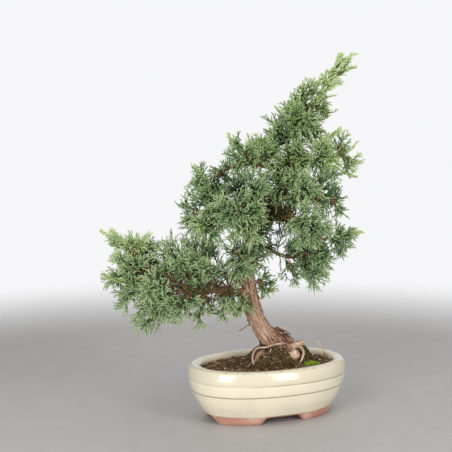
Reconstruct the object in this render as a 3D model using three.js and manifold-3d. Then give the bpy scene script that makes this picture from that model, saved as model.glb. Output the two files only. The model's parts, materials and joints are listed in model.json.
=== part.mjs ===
// A kishu juniper bonsai growing in a shallow oval pot, cream glaze over terracotta.
// Millimetres, +Z up. The feet of the pot stand on z = 0 and its long side lies along X.
// The tree is drawn facing its own front, x to the right and y away from the viewer,
// measured from the middle of the pot, and is then turned with its roots in the pot.

import * as THREE from "three";
import { mergeVertices } from "three/addons/utils/BufferGeometryUtils.js";
import Module from "manifold-3d";

const wasm = await Module();
wasm.setup();

// Place of the pot's middle in the object's frame, which has its origin under the middle
// of everything, and the turn of the tree's front from the pot's front.
const POT_MIDDLE = [32.5, -18.65];
const TREE_TURN = THREE.MathUtils.degToRad(-21.3);

// Clearance left between pieces that touch on the real thing
const SEAT_GAP = 0.3;

// Pot, an oval a little squarer than an ellipse. Its half length is given at each height,
// and it is narrower than it is long by the same amount at every height.
const POT_SQUARENESS = 2.23;
const POT_NARROWING = 26;
const POT_SIDES = 32;
const FOOT_HEIGHT = 7.3;
const FOOT_THICKNESS = 9.5;
const POT_OUTSIDE = [
  [63.9, 0],
  [67.8, 9],
  [73.8, 19],
  [77.7, 29.3],
  [77.3, 30.3],
  [78.8, 31.4],
  [80.6, 40.4],
  [80.1, 41.4],
  [81.0, 42.6],
  [80.9, 48],
  [79.6, 52.6],
  [76.5, 55.2],
];
const POT_INSIDE = [
  [70.5, 54.6],
  [68.6, 52],
  [71.5, 42],
  [68.5, 25],
  [61, 16],
];
const FRONT_GAP = { width: 47, roof: 31 };
const END_GAP = { width: 34, roof: 20 };
const FOOT_FLARE = 0.8;
const DRAIN_HOLE_RADIUS = 6;
const DRAIN_HOLE_OFFSET = 28;
const DRAIN_HOLE_SIDES = 14;
const OVERCUT = 1;

// Plastic mesh that keeps the soil from falling through a drain hole
const MESH_SIZE = 22;
const MESH_THICKNESS = 1.2;
const MESH_BAR = 1.6;
const MESH_BARS = 3;

// Soil, level near the wall and mounded up to the roots
const SOIL_LEVEL = 50;
const SOIL_EDGE = 68.5;
const MOUND_HEIGHT = 21;
const MOUND_RADIUS = 22;
const MOUND_TOP = [11, 3];
const SOIL_RIPPLE = 0.5;
const RIPPLE_WAVES = [0.23, 0.31];
const EDGE_ROOM = 0.1;
const HOLE_ROOM = 0.12;
const SOIL_RINGS = [0.8, 0.6, 0.42, 0.25];

// Trunk, from its underground end to the leader: x, y, z and radius
const TRUNK = [
  [20, 5, 44, 11],
  [19, 5, 58, 13],
  [17, 4, 67, 13],
  [14, 4, 73, 11.2],
  [5, 4, 81, 8.8],
  [-5, 2, 91, 8.2],
  [-11, 0, 103, 7.7],
  [-16, 0, 115, 7.4],
  [-18, 2, 130, 6.4],
  [-20, 5, 152, 5.6],
  [-19, 6, 171, 5.2],
  [-11, 4, 186, 5.4],
  [2, 0, 201, 7.2],
  [13, 0, 219, 4.4],
  [22, 2, 244, 3.8],
  [27, 4, 260, 3.3],
  [31, 4, 278, 2.8],
  [36, 2, 293, 2.4],
  [46, 0, 306, 2.0],
  [53, 0, 319, 1.6],
];
const TRUNK_SIDES = 10;
const TRUNK_STATIONS = 28;
const BURIED_STATIONS = 8;
const TRUNK_RIDGES = 5;
const RIDGE_DEPTH = 0.07;
const RIDGE_TWIST = 0.35;

// Limbs, each from inside the trunk to its last fork, with the radius at each end
const LIMBS = {
  low_left: {
    path: [[-16, 0, 115], [-31, -6, 125], [-52, -14, 128], [-76, -18, 129], [-95, -16, 140],
      [-113, -10, 143], [-122, -4, 155]],
    radii: [4.2, 1.8],
  },
  low_back: {
    path: [[-18, 2, 130], [-42, 25, 137], [-73, 42, 148], [-104, 48, 150]],
    radii: [3.0, 1.5],
  },
  right_low: {
    path: [[-19, 5, 162], [-5, 4, 168], [13, -8, 161], [26, -12, 159], [42, -12, 164]],
    radii: [2.2, 1.4],
  },
  mid_left: {
    path: [[-11, 4, 188], [-26, -4, 201], [-46, -12, 207], [-60, -14, 205]],
    radii: [2.8, 1.5],
  },
  mid_front: {
    path: [[1, 0, 201], [-10, -20, 210], [-25, -34, 211]],
    radii: [2.4, 1.5],
  },
  mid_back: {
    path: [[3, 2, 202], [-12, 26, 214], [-32, 42, 214]],
    radii: [2.4, 1.5],
  },
  up_left: {
    path: [[21, 2, 242], [1, -4, 248], [-20, -8, 251], [-40, -8, 245], [-54, -6, 236]],
    radii: [2.6, 1.4],
  },
  up_back: {
    path: [[23, 3, 246], [16, 22, 253], [2, 36, 256]],
    radii: [2.0, 1.4],
  },
  right_mid: {
    path: [[13, 0, 219], [30, -8, 219], [46, -13, 217], [56, -15, 215]],
    radii: [2.4, 1.4],
  },
  right_front: {
    path: [[5, 0, 203], [18, -18, 202], [31, -32, 195]],
    radii: [2.4, 1.4],
  },
  right_up: {
    path: [[24, 2, 246], [40, -5, 252], [55, -7, 256], [64, -6, 257]],
    radii: [2.2, 1.4],
  },
  right_back: {
    path: [[16, 2, 224], [34, 22, 225], [50, 36, 219]],
    radii: [2.2, 1.4],
  },
  right_hang: {
    path: [[3, 2, 200], [22, 8, 193], [43, 8, 182], [58, 4, 174]],
    radii: [2.6, 1.4],
  },
};
const LIMB_SIDES = 5;
const LIMB_STEP = 14;

// Roots over the mound and down into the soil: x, y and height above the soil under them,
// with the radius at each end. The first is a cut stub, the last two are thin and pale.
const ROOTS = [
  { path: [[16, 3, -3], [27, 3, 4], [36, 4, 13]], radii: [6, 3.6] },
  { path: [[14, 2, -5], [15, -9, -2.4], [15, -19, -1.8], [12, -29, -7]], radii: [4.8, 2.2] },
  { path: [[11, 2, -4], [0, -7, -0.6], [-8, -12, 0.2], [-14, -17, -1], [-18, -21, -7]], radii: [3.8, 1.8] },
  { path: [[18, 6, -4], [30, 9, 0], [42, 12, -0.6], [52, 14, -7]], radii: [4.6, 1.8] },
  { path: [[18, 8, -4], [24, 18, 0], [31, 28, -0.8], [34, 35, -7]], radii: [4.6, 2.0] },
  { path: [[12, 8, -4], [4, 18, 0], [-6, 27, -0.8], [-10, 33, -7]], radii: [4.4, 1.9] },
  { path: [[9, 4, -4], [-3, 6, -0.4], [-13, 9, -0.8], [-22, 10, -7]], radii: [4.2, 1.7] },
  { path: [[25, 0, 3], [30, -3, 11], [34, -6, 10], [35, -9, 4], [33, -12, -6]], radii: [1.9, 1.2] },
  { path: [[17, -6, 1], [8, -9, 2.5], [-2, -10, 3], [-9, -12, 2], [-13, -15, -5]], radii: [1.5, 1.1] },
];
const ROOT_SIDES = 5;
const ROOT_STEP = 14;
const BURL = { place: [26, -8, 3], radius: 6 };
const DEAD_TWIG = { path: [[-10, 1, 95], [-17, -1, 91], [-28, -6, 85]], radii: [1.3, 0.6] };

// Leafy shoots: the limb, how far along it the twig leaves, where the foliage reaches,
// and how full the shoot is where it is slimmer than most
const SHOOTS = [
  ["low_left", 1.0, [[-156, -4, 180], [-133, -16, 173]]],
  ["low_left", 0.9, [[-158, -8, 140], [-144, -34, 160]]],
  ["low_left", 0.8, [[-150, -10, 118]], 0.85],
  ["low_left", 0.64, [[-124, -20, 90], [-133, -10, 106], [-104, -2, 90]]],
  ["low_left", 0.62, [[-122, -56, 140]]],
  ["low_left", 0.5, [[-96, -50, 112]]],
  ["low_left", 0.45, [[-100, -20, 180]]],
  ["low_left", 0.36, [[-76, -12, 92]]],
  ["low_left", 0.3, [[-66, -40, 166]]],
  ["low_left", 0.2, [[-52, -22, 96]], 0.75],
  ["low_back", 1.0, [[-148, 46, 150], [-126, 44, 106], [-122, 52, 172]]],
  ["low_back", 0.55, [[-88, 48, 100], [-80, 58, 172]]],
  ["trunk", 0.29, [[-34, -26, 104]], 0.8],
  ["trunk", 0.42, [[-30, -46, 148], [-46, -10, 178]]],
  ["trunk", 0.35, [[13, -6, 132], [5, 4, 112]], 0.75],
  ["trunk", 0.44, [[-14, 48, 140]]],
  ["trunk", 0.48, [[-4, -40, 168]]],
  ["trunk", 0.49, [[-2, 46, 184]]],
  ["right_low", 0.6, [[34, -16, 132]]],
  ["right_low", 0.9, [[48, -30, 136]]],
  ["right_low", 1.0, [[68, -8, 154]], 0.8],
  ["right_hang", 1.0, [[92, 2, 181], [80, -20, 168]]],
  ["right_hang", 0.75, [[58, 36, 144], [28, 14, 158]]],
  ["right_front", 1.0, [[50, -52, 182], [28, -56, 204]]],
  ["mid_left", 1.0, [[-88, -12, 216], [-82, -14, 186]], 0.75],
  ["mid_left", 0.75, [[-62, -46, 186]]],
  ["mid_left", 0.7, [[-66, -24, 232]], 0.8],
  ["mid_front", 1.0, [[-44, -64, 206]]],
  ["mid_front", 0.7, [[-22, -58, 184]]],
  ["mid_front", 0.6, [[-14, -50, 240]]],
  ["mid_back", 1.0, [[-60, 62, 204]]],
  ["mid_back", 0.75, [[-22, 66, 190], [-30, 60, 236]]],
  ["up_left", 1.0, [[-78, -6, 238], [-44, 8, 214]]],
  ["up_left", 0.45, [[-36, -10, 281]], 0.6],
  ["up_left", 0.3, [[-10, 0, 278], [2, -34, 262]]],
  ["up_left", 0.5, [[-34, -48, 256]]],
  ["up_left", 0.8, [[-46, 34, 238]]],
  ["up_back", 1.0, [[4, 58, 276], [-10, 52, 250]]],
  ["right_mid", 1.0, [[78, -16, 222], [72, -26, 196]]],
  ["right_mid", 0.4, [[36, -50, 232]]],
  ["right_back", 1.0, [[68, 46, 199], [66, 54, 244]], 0.75],
  ["right_up", 1.0, [[86, -4, 264], [71, 8, 279], [87, -8, 240]]],
  ["right_up", 0.6, [[56, -44, 262]]],
  ["trunk", 0.68, [[2, -34, 226]]],
  ["trunk", 0.73, [[36, -36, 262]]],
  ["trunk", 0.7, [[22, 48, 244]]],
  ["trunk", 1.0, [[74, -2, 358], [84, 4, 353], [84, -4, 342]], 0.5],
  ["trunk", 0.93, [[66, 10, 314], [60, -14, 298]], 0.9],
  ["trunk", 0.92, [[34, -4, 330], [16, -6, 312], [53, -12, 333]], 0.8],
  ["trunk", 0.86, [[30, -38, 300]]],
  ["trunk", 0.84, [[34, 40, 302]]],
  ["trunk", 0.8, [[2, -8, 290]]],
  ["trunk", 0.87, [[56, 24, 286]]],
];
const TWIG_SHARE = 0.14;
const BARE_TWIG = 4;
const TWIG_SAG = 0.06;
const TWIG_RADII = [1.5, 1.1];
const TWIG_SIDES = 3;

// Foliage: slim stems with short bands of three-sided branchlets all round them
const STEM_RADII = [1.6, 0.8];
const STEM_SAG = 0.1;
const BAND_LENGTH = 6;
const BAND_STEP = 14;
const BRANCHLET_LENGTH = 20;
const SIDE_BRANCHLET_LENGTH = 18;
const BRANCHLET_LEAN = THREE.MathUtils.degToRad(46);
const SHORTEST_BRANCHLET = 3;
const BRANCHLET_GIRTH = 1.1;
const BRANCHLET_TAPER = { first: 1.05, loss: 0.4 };
const BRANCHLET_VARIETY = { least: 0.8, more: 0.35 };
const LEAN_VARIETY = 0.1;
const TURN_VARIETY = 0.3;
const STRAIGHTENING = 0.35;
const NEIGHBOUR_REACH = 14;
const TIP_LENGTH = 6;
const OUTER_REACH = 6;
const CLEARANCE = 0.6;
const GROUP_REACH = 120;
const WOOD_REACH = 30;
const NEAR_MISS = 0.01;
const LEVEL = 1e-9;

// Side stems, as a share of the length of the stem that bears them
const SIDE_STEMS = 5;
const FORK_SIDE_STEMS = 3;
const SIDE_STEM_SHARE = 0.68;
const LONGEST_BEARER = 34;
const SIDE_STEM_LEAN = THREE.MathUtils.degToRad(50);
const SIDE_STEM_GIRTH = 0.85;
const SIDE_STEM_ROOM = 6;
const SIDE_STEM_SHORTENING = 0.4;
const SIDE_STEM_VARIETY = 0.2;
const HALFWAY = 0.6;
const NARROWER_HALFWAY = 0.75;
const BARE_START = 4;
const GOLDEN_ANGLE = THREE.MathUtils.degToRad(137.5);

// Moss and a dry straw beside the roots
const MOSS = { place: [43, -3], radii: [8, 5], turn: -0.1, height: 2.4, edge: 0.2, depth: 1.2 };
const MOSS_WAVES = [0.14, 0.08];
const MOSS_LUMPS = 0.35;
const MOSS_SIDES = 16;
const MOSS_RINGS_BELOW = [0.5, 0.95];
const MOSS_RINGS_ABOVE = [1, 0.88, 0.6, 0.25];
const STRAW = { path: [[57, 22, 44], [57, 22, 50], [55, 21, 59], [51, 20, 69]], radii: [1.2, 0.6] };

const MATERIALS = {
  glaze: { color: 0xe6e1cb, roughness: 0.3, metalness: 0 },
  soil: { color: 0x5a4734, roughness: 0.95, metalness: 0 },
  mesh: { color: 0x23262a, roughness: 0.6, metalness: 0 },
  bark: { color: 0x8a5f48, roughness: 0.9, metalness: 0 },
  leaf: { color: 0x5f8262, roughness: 0.65, metalness: 0 },
  moss: { color: 0x7fae2e, roughness: 0.95, metalness: 0 },
  straw: { color: 0xc9b673, roughness: 0.8, metalness: 0 },
};

const UP = new THREE.Vector3(0, 0, 1);

function vector(point) {
  return new THREE.Vector3(point[0], point[1], point[2]);
}

// Numbers from 0 to 1 that are the same on every run
function seededDraw(seed) {
  let state = seed;
  return () => {
    state = (state * 1664525 + 1013904223) % 4294967296;
    return state / 4294967296;
  };
}

// Closed bodies and their joins

function solid(positions, triangles) {
  const mesh = new wasm.Mesh({
    numProp: 3,
    vertProperties: new Float32Array(positions),
    triVerts: new Uint32Array(triangles),
  });
  return new wasm.Manifold(mesh);
}

function solidFromGeometry(geometry) {
  const plain = geometry.clone();
  plain.deleteAttribute("normal");
  plain.deleteAttribute("uv");
  const merged = mergeVertices(plain, 1e-4);
  return solid(merged.attributes.position.array, merged.index.array);
}

function joined(solids) {
  return solids.reduce((whole, piece) => whole.add(piece));
}

function namedMesh(name, body, finish) {
  const { vertProperties, triVerts } = body.getMesh();
  const geometry = new THREE.BufferGeometry();
  geometry.setAttribute("position", new THREE.BufferAttribute(vertProperties, 3));
  geometry.setIndex(new THREE.BufferAttribute(triVerts, 1));
  geometry.computeVertexNormals();
  const mesh = new THREE.Mesh(geometry, new THREE.MeshStandardMaterial(MATERIALS[finish]));
  mesh.name = name;
  return mesh;
}

// Two unit vectors across a direction, kept level where they can be
function acrossFrame(direction) {
  const reference = Math.abs(direction.z) > 0.9 ? new THREE.Vector3(1, 0, 0) : UP;
  const side = new THREE.Vector3().crossVectors(reference, direction).normalize();
  const over = new THREE.Vector3().crossVectors(direction, side);
  return [side, over];
}

// Round tube along stations { centre, direction, radius }, closed at both ends.
// swell makes it thicker and longer, for the hole that the tube stands in.
function tube(stations, sides, { swell = 0, ridges = 0 } = {}) {
  const positions = [];
  const triangles = [];
  const [side] = acrossFrame(stations[0].direction);
  const last = stations.length - 1;
  stations.forEach(({ centre, direction, radius }, row) => {
    const middle = centre.clone();
    if (row === 0) middle.addScaledVector(direction, -swell);
    if (row === last) middle.addScaledVector(direction, swell);
    const first = side.clone().addScaledVector(direction, -side.dot(direction)).normalize();
    const second = new THREE.Vector3().crossVectors(direction, first);
    for (let step = 0; step < sides; step += 1) {
      const angle = (step / sides) * 2 * Math.PI;
      const ridge = 1 + ridges * Math.cos(TRUNK_RIDGES * angle + row * RIDGE_TWIST);
      const reach = radius * ridge + swell;
      const point = middle.clone();
      point.addScaledVector(first, reach * Math.cos(angle));
      point.addScaledVector(second, reach * Math.sin(angle));
      positions.push(point.x, point.y, point.z);
    }
  });
  for (let row = 0; row < last; row += 1) {
    for (let step = 0; step < sides; step += 1) {
      const here = row * sides + step;
      const next = row * sides + ((step + 1) % sides);
      triangles.push(here, next, next + sides, here, next + sides, here + sides);
    }
  }
  for (let step = 1; step < sides - 1; step += 1) {
    triangles.push(0, step + 1, step);
    triangles.push(last * sides, last * sides + step, last * sides + step + 1);
  }
  return { positions, triangles };
}

function tubeSolid(stations, sides, options) {
  const { positions, triangles } = tube(stations, sides, options);
  return solid(positions, triangles);
}

// Stations along a smooth curve through the points, at even steps
function stationsAlong(path, radii, count) {
  const curve = new THREE.CatmullRomCurve3(path.map(vector), false, "centripetal");
  const stations = [];
  for (let row = 0; row <= count; row += 1) {
    const share = row / count;
    stations.push({
      centre: curve.getPointAt(share),
      direction: curve.getTangentAt(share),
      radius: radii(share, curve),
    });
  }
  return { curve, stations };
}

function evenRadii([start, end]) {
  return (share) => start + (end - start) * share;
}

// Pot

function ovalPoint(halfLength, angle) {
  const power = 2 / POT_SQUARENESS;
  const along = Math.cos(angle);
  const across = Math.sin(angle);
  return [
    halfLength * Math.sign(along) * Math.abs(along) ** power,
    (halfLength - POT_NARROWING) * Math.sign(across) * Math.abs(across) ** power,
  ];
}

// Closed body through rings of points, from a middle point below to one above
function ringBody(rings, below, above) {
  const positions = [...below];
  const triangles = [];
  const sides = rings[0].length;
  rings.forEach((ring) => ring.forEach((point) => positions.push(...point)));
  positions.push(...above);
  const top = 1 + rings.length * sides;
  for (let step = 0; step < sides; step += 1) {
    const next = (step + 1) % sides;
    triangles.push(0, 1 + next, 1 + step);
    for (let row = 0; row < rings.length - 1; row += 1) {
      const here = 1 + row * sides;
      triangles.push(here + step, here + next, here + sides + next);
      triangles.push(here + step, here + sides + next, here + sides + step);
    }
    const lastRow = 1 + (rings.length - 1) * sides;
    triangles.push(top, lastRow + step, lastRow + next);
  }
  return solid(positions, triangles);
}

function ovalRing(halfLength, height) {
  const ring = [];
  for (let step = 0; step < POT_SIDES; step += 1) {
    const [x, y] = ovalPoint(halfLength, (step / POT_SIDES) * 2 * Math.PI);
    ring.push([x, y, height]);
  }
  return ring;
}

// Long bar with sloped sides that leaves the arch between two feet
function footArch({ width, roof }, length, turned) {
  const section = new THREE.Shape([
    new THREE.Vector2(-width / 2 - OVERCUT, -OVERCUT),
    new THREE.Vector2(width / 2 + OVERCUT, -OVERCUT),
    new THREE.Vector2(roof / 2, FOOT_HEIGHT),
    new THREE.Vector2(-roof / 2, FOOT_HEIGHT),
  ]);
  const bar = new THREE.ExtrudeGeometry(section, { depth: length, bevelEnabled: false });
  bar.translate(0, 0, -length / 2);
  bar.rotateX(Math.PI / 2);
  if (turned) bar.rotateZ(Math.PI / 2);
  return solidFromGeometry(bar);
}

function pot() {
  const rings = [...POT_OUTSIDE, ...POT_INSIDE].map(([half, height]) => ovalRing(half, height));
  let body = ringBody(rings, [0, 0, 0], [0, 0, POT_INSIDE.at(-1)[1]]);
  const innerFoot = POT_OUTSIDE[0][0] - FOOT_THICKNESS;
  const underside = [ovalRing(innerFoot, -OVERCUT), ovalRing(innerFoot + FOOT_FLARE, FOOT_HEIGHT)];
  body = body.subtract(ringBody(underside, [0, 0, -OVERCUT], [0, 0, FOOT_HEIGHT]));
  body = body.subtract(footArch(FRONT_GAP, 3 * POT_OUTSIDE[0][0], false));
  body = body.subtract(footArch(END_GAP, 3 * POT_OUTSIDE[0][0], true));
  const floor = POT_INSIDE.at(-1)[1];
  for (const x of [-DRAIN_HOLE_OFFSET, DRAIN_HOLE_OFFSET]) {
    const hole = new THREE.CylinderGeometry(
      DRAIN_HOLE_RADIUS,
      DRAIN_HOLE_RADIUS,
      floor + 2 * OVERCUT,
      DRAIN_HOLE_SIDES,
    );
    hole.rotateX(Math.PI / 2);
    hole.translate(x, 0, floor / 2);
    body = body.subtract(solidFromGeometry(hole));
  }
  return body;
}

function drainMesh(x) {
  const bottom = POT_INSIDE.at(-1)[1] + SEAT_GAP;
  const plate = new THREE.BoxGeometry(MESH_SIZE, MESH_SIZE, MESH_THICKNESS);
  plate.translate(x, 0, bottom + MESH_THICKNESS / 2);
  let body = solidFromGeometry(plate);
  const opening = (MESH_SIZE - MESH_BAR * MESH_BARS) / (MESH_BARS - 1);
  for (let column = 0; column < MESH_BARS - 1; column += 1) {
    for (let row = 0; row < MESH_BARS - 1; row += 1) {
      const start = -MESH_SIZE / 2 + MESH_BAR + opening / 2;
      const step = opening + MESH_BAR;
      const cut = new THREE.BoxGeometry(opening, opening, 3 * MESH_THICKNESS);
      cut.translate(x + start + column * step, start + row * step, bottom);
      body = body.subtract(solidFromGeometry(cut));
    }
  }
  return body;
}

// Soil

// The tree's own x and y as x and y from the middle of the pot
function inPot(x, y) {
  const turned = new THREE.Vector3(x, y, 0).applyAxisAngle(UP, TREE_TURN);
  return [turned.x, turned.y];
}

function soilHeight(x, y) {
  const [moundX, moundY] = inPot(...MOUND_TOP);
  const distance = Math.hypot(x - moundX, y - moundY) / MOUND_RADIUS;
  const ripple = SOIL_RIPPLE * Math.sin(x * RIPPLE_WAVES[0] + 1) * Math.cos(y * RIPPLE_WAVES[1]);
  return SOIL_LEVEL + MOUND_HEIGHT * Math.exp(-(distance ** 3)) + ripple;
}

function soilSurface(x, y, lift = 0) {
  return [x, y, soilHeight(x, y) + lift];
}

function soil(holes) {
  const shrink = SEAT_GAP + EDGE_ROOM;
  const inside = [...POT_INSIDE].reverse().filter(([, height]) => height < SOIL_LEVEL - SOIL_RIPPLE);
  const rings = inside.map(([half, height]) => ovalRing(half - shrink, height + shrink));
  const edge = ovalRing(SOIL_EDGE - shrink, 0);
  rings.push(edge.map(([x, y]) => soilSurface(x, y)));
  const [moundX, moundY] = inPot(...MOUND_TOP);
  for (const share of SOIL_RINGS) {
    rings.push(edge.map(([x, y]) => (
      soilSurface(moundX + (x - moundX) * share, moundY + (y - moundY) * share)
    )));
  }
  let body = ringBody(rings, [0, 0, inside[0][1] + shrink], soilSurface(moundX, moundY));
  for (const hole of holes) body = body.subtract(hole);
  return body;
}

// A lens of moss let into the soil
function moss(swell) {
  const [middleX, middleY] = inPot(...MOSS.place);
  const ring = (share, lift) => [...Array(MOSS_SIDES).keys()].map((step) => {
    const angle = (step / MOSS_SIDES) * 2 * Math.PI;
    const wave = 1 + MOSS_WAVES[0] * Math.sin(3 * angle + 0.6) + MOSS_WAVES[1] * Math.sin(5 * angle);
    const x = middleX + (MOSS.radii[0] * share * wave + swell) * Math.cos(angle + MOSS.turn);
    const y = middleY + (MOSS.radii[1] * share * wave + swell) * Math.sin(angle + MOSS.turn);
    const lump = MOSS_LUMPS * Math.sin(4 * angle + 9 * share) * (1 - share);
    return soilSurface(x, y, lift + lump);
  });
  const depth = -MOSS.depth - swell;
  const top = swell + MOSS.edge + MOSS.height;
  const rings = MOSS_RINGS_BELOW.map((share) => ring(share, depth));
  for (const share of MOSS_RINGS_ABOVE) {
    rings.push(ring(share, swell + MOSS.edge + MOSS.height * (1 - share * share) ** 0.7));
  }
  return ringBody(rings, soilSurface(middleX, middleY, depth), soilSurface(middleX, middleY, top));
}

// Wood

function trunkRadius(share, curve) {
  const here = curve.getPointAt(share);
  let best = 0;
  for (let row = 0; row < TRUNK.length - 1; row += 1) if (TRUNK[row][2] <= here.z) best = row;
  const low = TRUNK[best];
  const high = TRUNK[best + 1];
  const blend = THREE.MathUtils.clamp((here.z - low[2]) / (high[2] - low[2]), 0, 1);
  return low[3] + (high[3] - low[3]) * blend;
}

function limbStations(name) {
  if (name === "trunk") return stationsAlong(TRUNK, trunkRadius, TRUNK_STATIONS);
  const { path, radii } = LIMBS[name];
  const length = new THREE.CatmullRomCurve3(path.map(vector), false, "centripetal").getLength();
  return stationsAlong(path, evenRadii(radii), Math.round(length / LIMB_STEP));
}

const limbs = Object.fromEntries(
  ["trunk", ...Object.keys(LIMBS)].map((name) => [name, limbStations(name)]),
);

// The twig of a group of shoots, from its limb to where the green starts
function twigStations([limb, share, tips]) {
  const { curve, stations } = limbs[limb];
  const { radius } = stations[Math.round(share * (stations.length - 1))];
  const start = curve.getPointAt(share);
  const middle = tips.map(vector).reduce((sum, tip) => sum.add(tip)).divideScalar(tips.length);
  const reach = start.distanceTo(middle);
  const bare = Math.max(TWIG_SHARE * reach, radius + BARE_TWIG);
  const end = start.clone().lerp(middle, bare / reach);
  const bend = start.clone().lerp(end, 0.5);
  bend.z -= TWIG_SAG * bare;
  const path = [start, bend, end].map((point) => point.toArray());
  return stationsAlong(path, evenRadii(TWIG_RADII), 1).stations;
}

const twigs = SHOOTS.map(twigStations);

// A point of the tree given by its height above the soil under it
function onSoil([x, y, lift]) {
  return [x, y, soilHeight(...inPot(x, y)) + lift];
}

function slimStations({ path, radii }) {
  const length = new THREE.CatmullRomCurve3(path.map(vector), false, "centripetal").getLength();
  return stationsAlong(path, evenRadii(radii), Math.round(length / ROOT_STEP)).stations;
}

const roots = ROOTS.map(({ path, radii }) => (
  slimStations({ path: path.map(onSoil), radii })
));

function burlShape(swell) {
  const ball = new THREE.IcosahedronGeometry(1, 1);
  ball.scale(BURL.radius + swell, 0.85 * BURL.radius + swell, 0.8 * BURL.radius + swell);
  ball.translate(...onSoil(BURL.place));
  return ball;
}

function wood() {
  const trunk = tubeSolid(limbs.trunk.stations, TRUNK_SIDES, { ridges: RIDGE_DEPTH });
  const pieces = [trunk, solidFromGeometry(burlShape(0))];
  for (const root of roots) pieces.push(tubeSolid(root, ROOT_SIDES));
  for (const name of Object.keys(LIMBS)) {
    pieces.push(tubeSolid(limbs[name].stations, LIMB_SIDES));
  }
  for (const twig of twigs) pieces.push(tubeSolid(twig, TWIG_SIDES));
  pieces.push(tubeSolid(slimStations(DEAD_TWIG), ROOT_SIDES));
  return joined(pieces);
}

// Room in the soil for the foot of the trunk, the roots and the straw
function stemHoles() {
  const swell = SEAT_GAP + HOLE_ROOM;
  const underground = limbs.trunk.stations.slice(0, BURIED_STATIONS);
  const tubes = [
    tube(underground, TRUNK_SIDES, { swell, ridges: RIDGE_DEPTH }),
    tube(strawStations, ROOT_SIDES, { swell }),
    ...roots.map((root) => tube(root, ROOT_SIDES, { swell })),
  ];
  const holes = tubes.map(({ positions, triangles }) => {
    const geometry = new THREE.BufferGeometry();
    geometry.setAttribute("position", new THREE.Float32BufferAttribute(positions, 3));
    geometry.rotateZ(TREE_TURN);
    return solid(geometry.attributes.position.array, triangles);
  });
  const ball = burlShape(swell);
  ball.rotateZ(TREE_TURN);
  return [...holes, solidFromGeometry(ball)];
}

const strawStations = slimStations(STRAW);

// Foliage

// A leafy stem bends from its root to its tip, sagging a little and turning up at the end
function leafyStem(root, tip, { girth = 1, branchlet = BRANCHLET_LENGTH, bare = 0 } = {}) {
  const length = root.distanceTo(tip);
  const bend = root.clone().lerp(tip, 0.5);
  bend.z -= STEM_SAG * length;
  const curve = new THREE.QuadraticBezierCurve3(root, bend, tip);
  const radii = STEM_RADII.map((radius) => girth * radius);
  return { curve, length, radii, branchlet, bare, samples: curve.getPoints(4) };
}

function segmentDistance(point, start, end) {
  const span = end.clone().sub(start);
  const share = THREE.MathUtils.clamp(point.clone().sub(start).dot(span) / span.lengthSq(), 0, 1);
  return point.distanceTo(start.clone().addScaledVector(span, share));
}

function pathDistance(point, samples) {
  let nearest = Infinity;
  for (let row = 0; row < samples.length - 1; row += 1) {
    nearest = Math.min(nearest, segmentDistance(point, samples[row], samples[row + 1]));
  }
  return nearest;
}

function stemsDistance(point, stems) {
  return Math.min(...stems.map(({ samples }) => pathDistance(point, samples)));
}

// Everything wooden that foliage keeps clear of
const woodPaths = [
  ...Object.values(limbs).map(({ stations }) => stations),
  ...twigs,
  ...roots,
];

function woodRoom(point) {
  let room = Infinity;
  for (const stations of woodPaths) {
    for (let row = 0; row < stations.length - 1; row += 1) {
      const { centre, radius } = stations[row];
      if (centre.distanceTo(point) < WOOD_REACH) {
        const distance = segmentDistance(point, centre, stations[row + 1].centre);
        room = Math.min(room, distance - radius * (1 + RIDGE_DEPTH));
      }
    }
  }
  return room;
}

// The main stems of every group, so that each knows what it has to keep clear of
const groups = SHOOTS.map(([limb, , tips, fullness = 1], index) => {
  const { centre, direction } = twigs[index].at(-1);
  const root = centre.clone().addScaledVector(direction, SEAT_GAP);
  const [main, ...forks] = tips.map((tip) => {
    const end = vector(tip);
    const span = root.distanceTo(end);
    return leafyStem(root, root.clone().lerp(end, (span - OUTER_REACH * fullness) / span), {
      branchlet: BRANCHLET_LENGTH * fullness,
    });
  });
  const stems = [main, ...forks];
  return { limb, fullness, heading: direction, main, forks, stems, seed: index + 1 };
});

function otherDistance(point, own) {
  let nearest = Infinity;
  for (const group of groups) {
    const near = group.main.curve.v0.distanceTo(point) < GROUP_REACH;
    if (group !== own && near) nearest = Math.min(nearest, stemsDistance(point, group.stems));
  }
  return nearest;
}

// A leafy body grows as one closed surface. A stem is rings of three corners, each ring
// turned by a sixth from the last, so six triangles join one ring to the next. In a band
// each of them is a bud, on which a side stem or a branchlet is raised.
function addPoint(body, point) {
  body.points.push(point);
  return body.points.length - 1;
}

function ringCorners(body, centre, forward, first, radius, row) {
  const flat = first.clone().addScaledVector(forward, -first.dot(forward)).normalize();
  const second = new THREE.Vector3().crossVectors(forward, flat);
  return [0, 1, 2].map((corner) => {
    const angle = ((2 * corner + row) * Math.PI) / 3;
    const point = centre.clone().addScaledVector(flat, radius * Math.cos(angle));
    return addPoint(body, point.addScaledVector(second, radius * Math.sin(angle)));
  });
}

// Triangles from one ring to the next
function sectionCorners(ring, next) {
  return [0, 1, 2].flatMap((step) => {
    const after = (step + 1) % 3;
    return [
      [ring[step], ring[after], next[step]],
      [ring[after], next[after], next[step]],
    ];
  });
}

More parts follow.
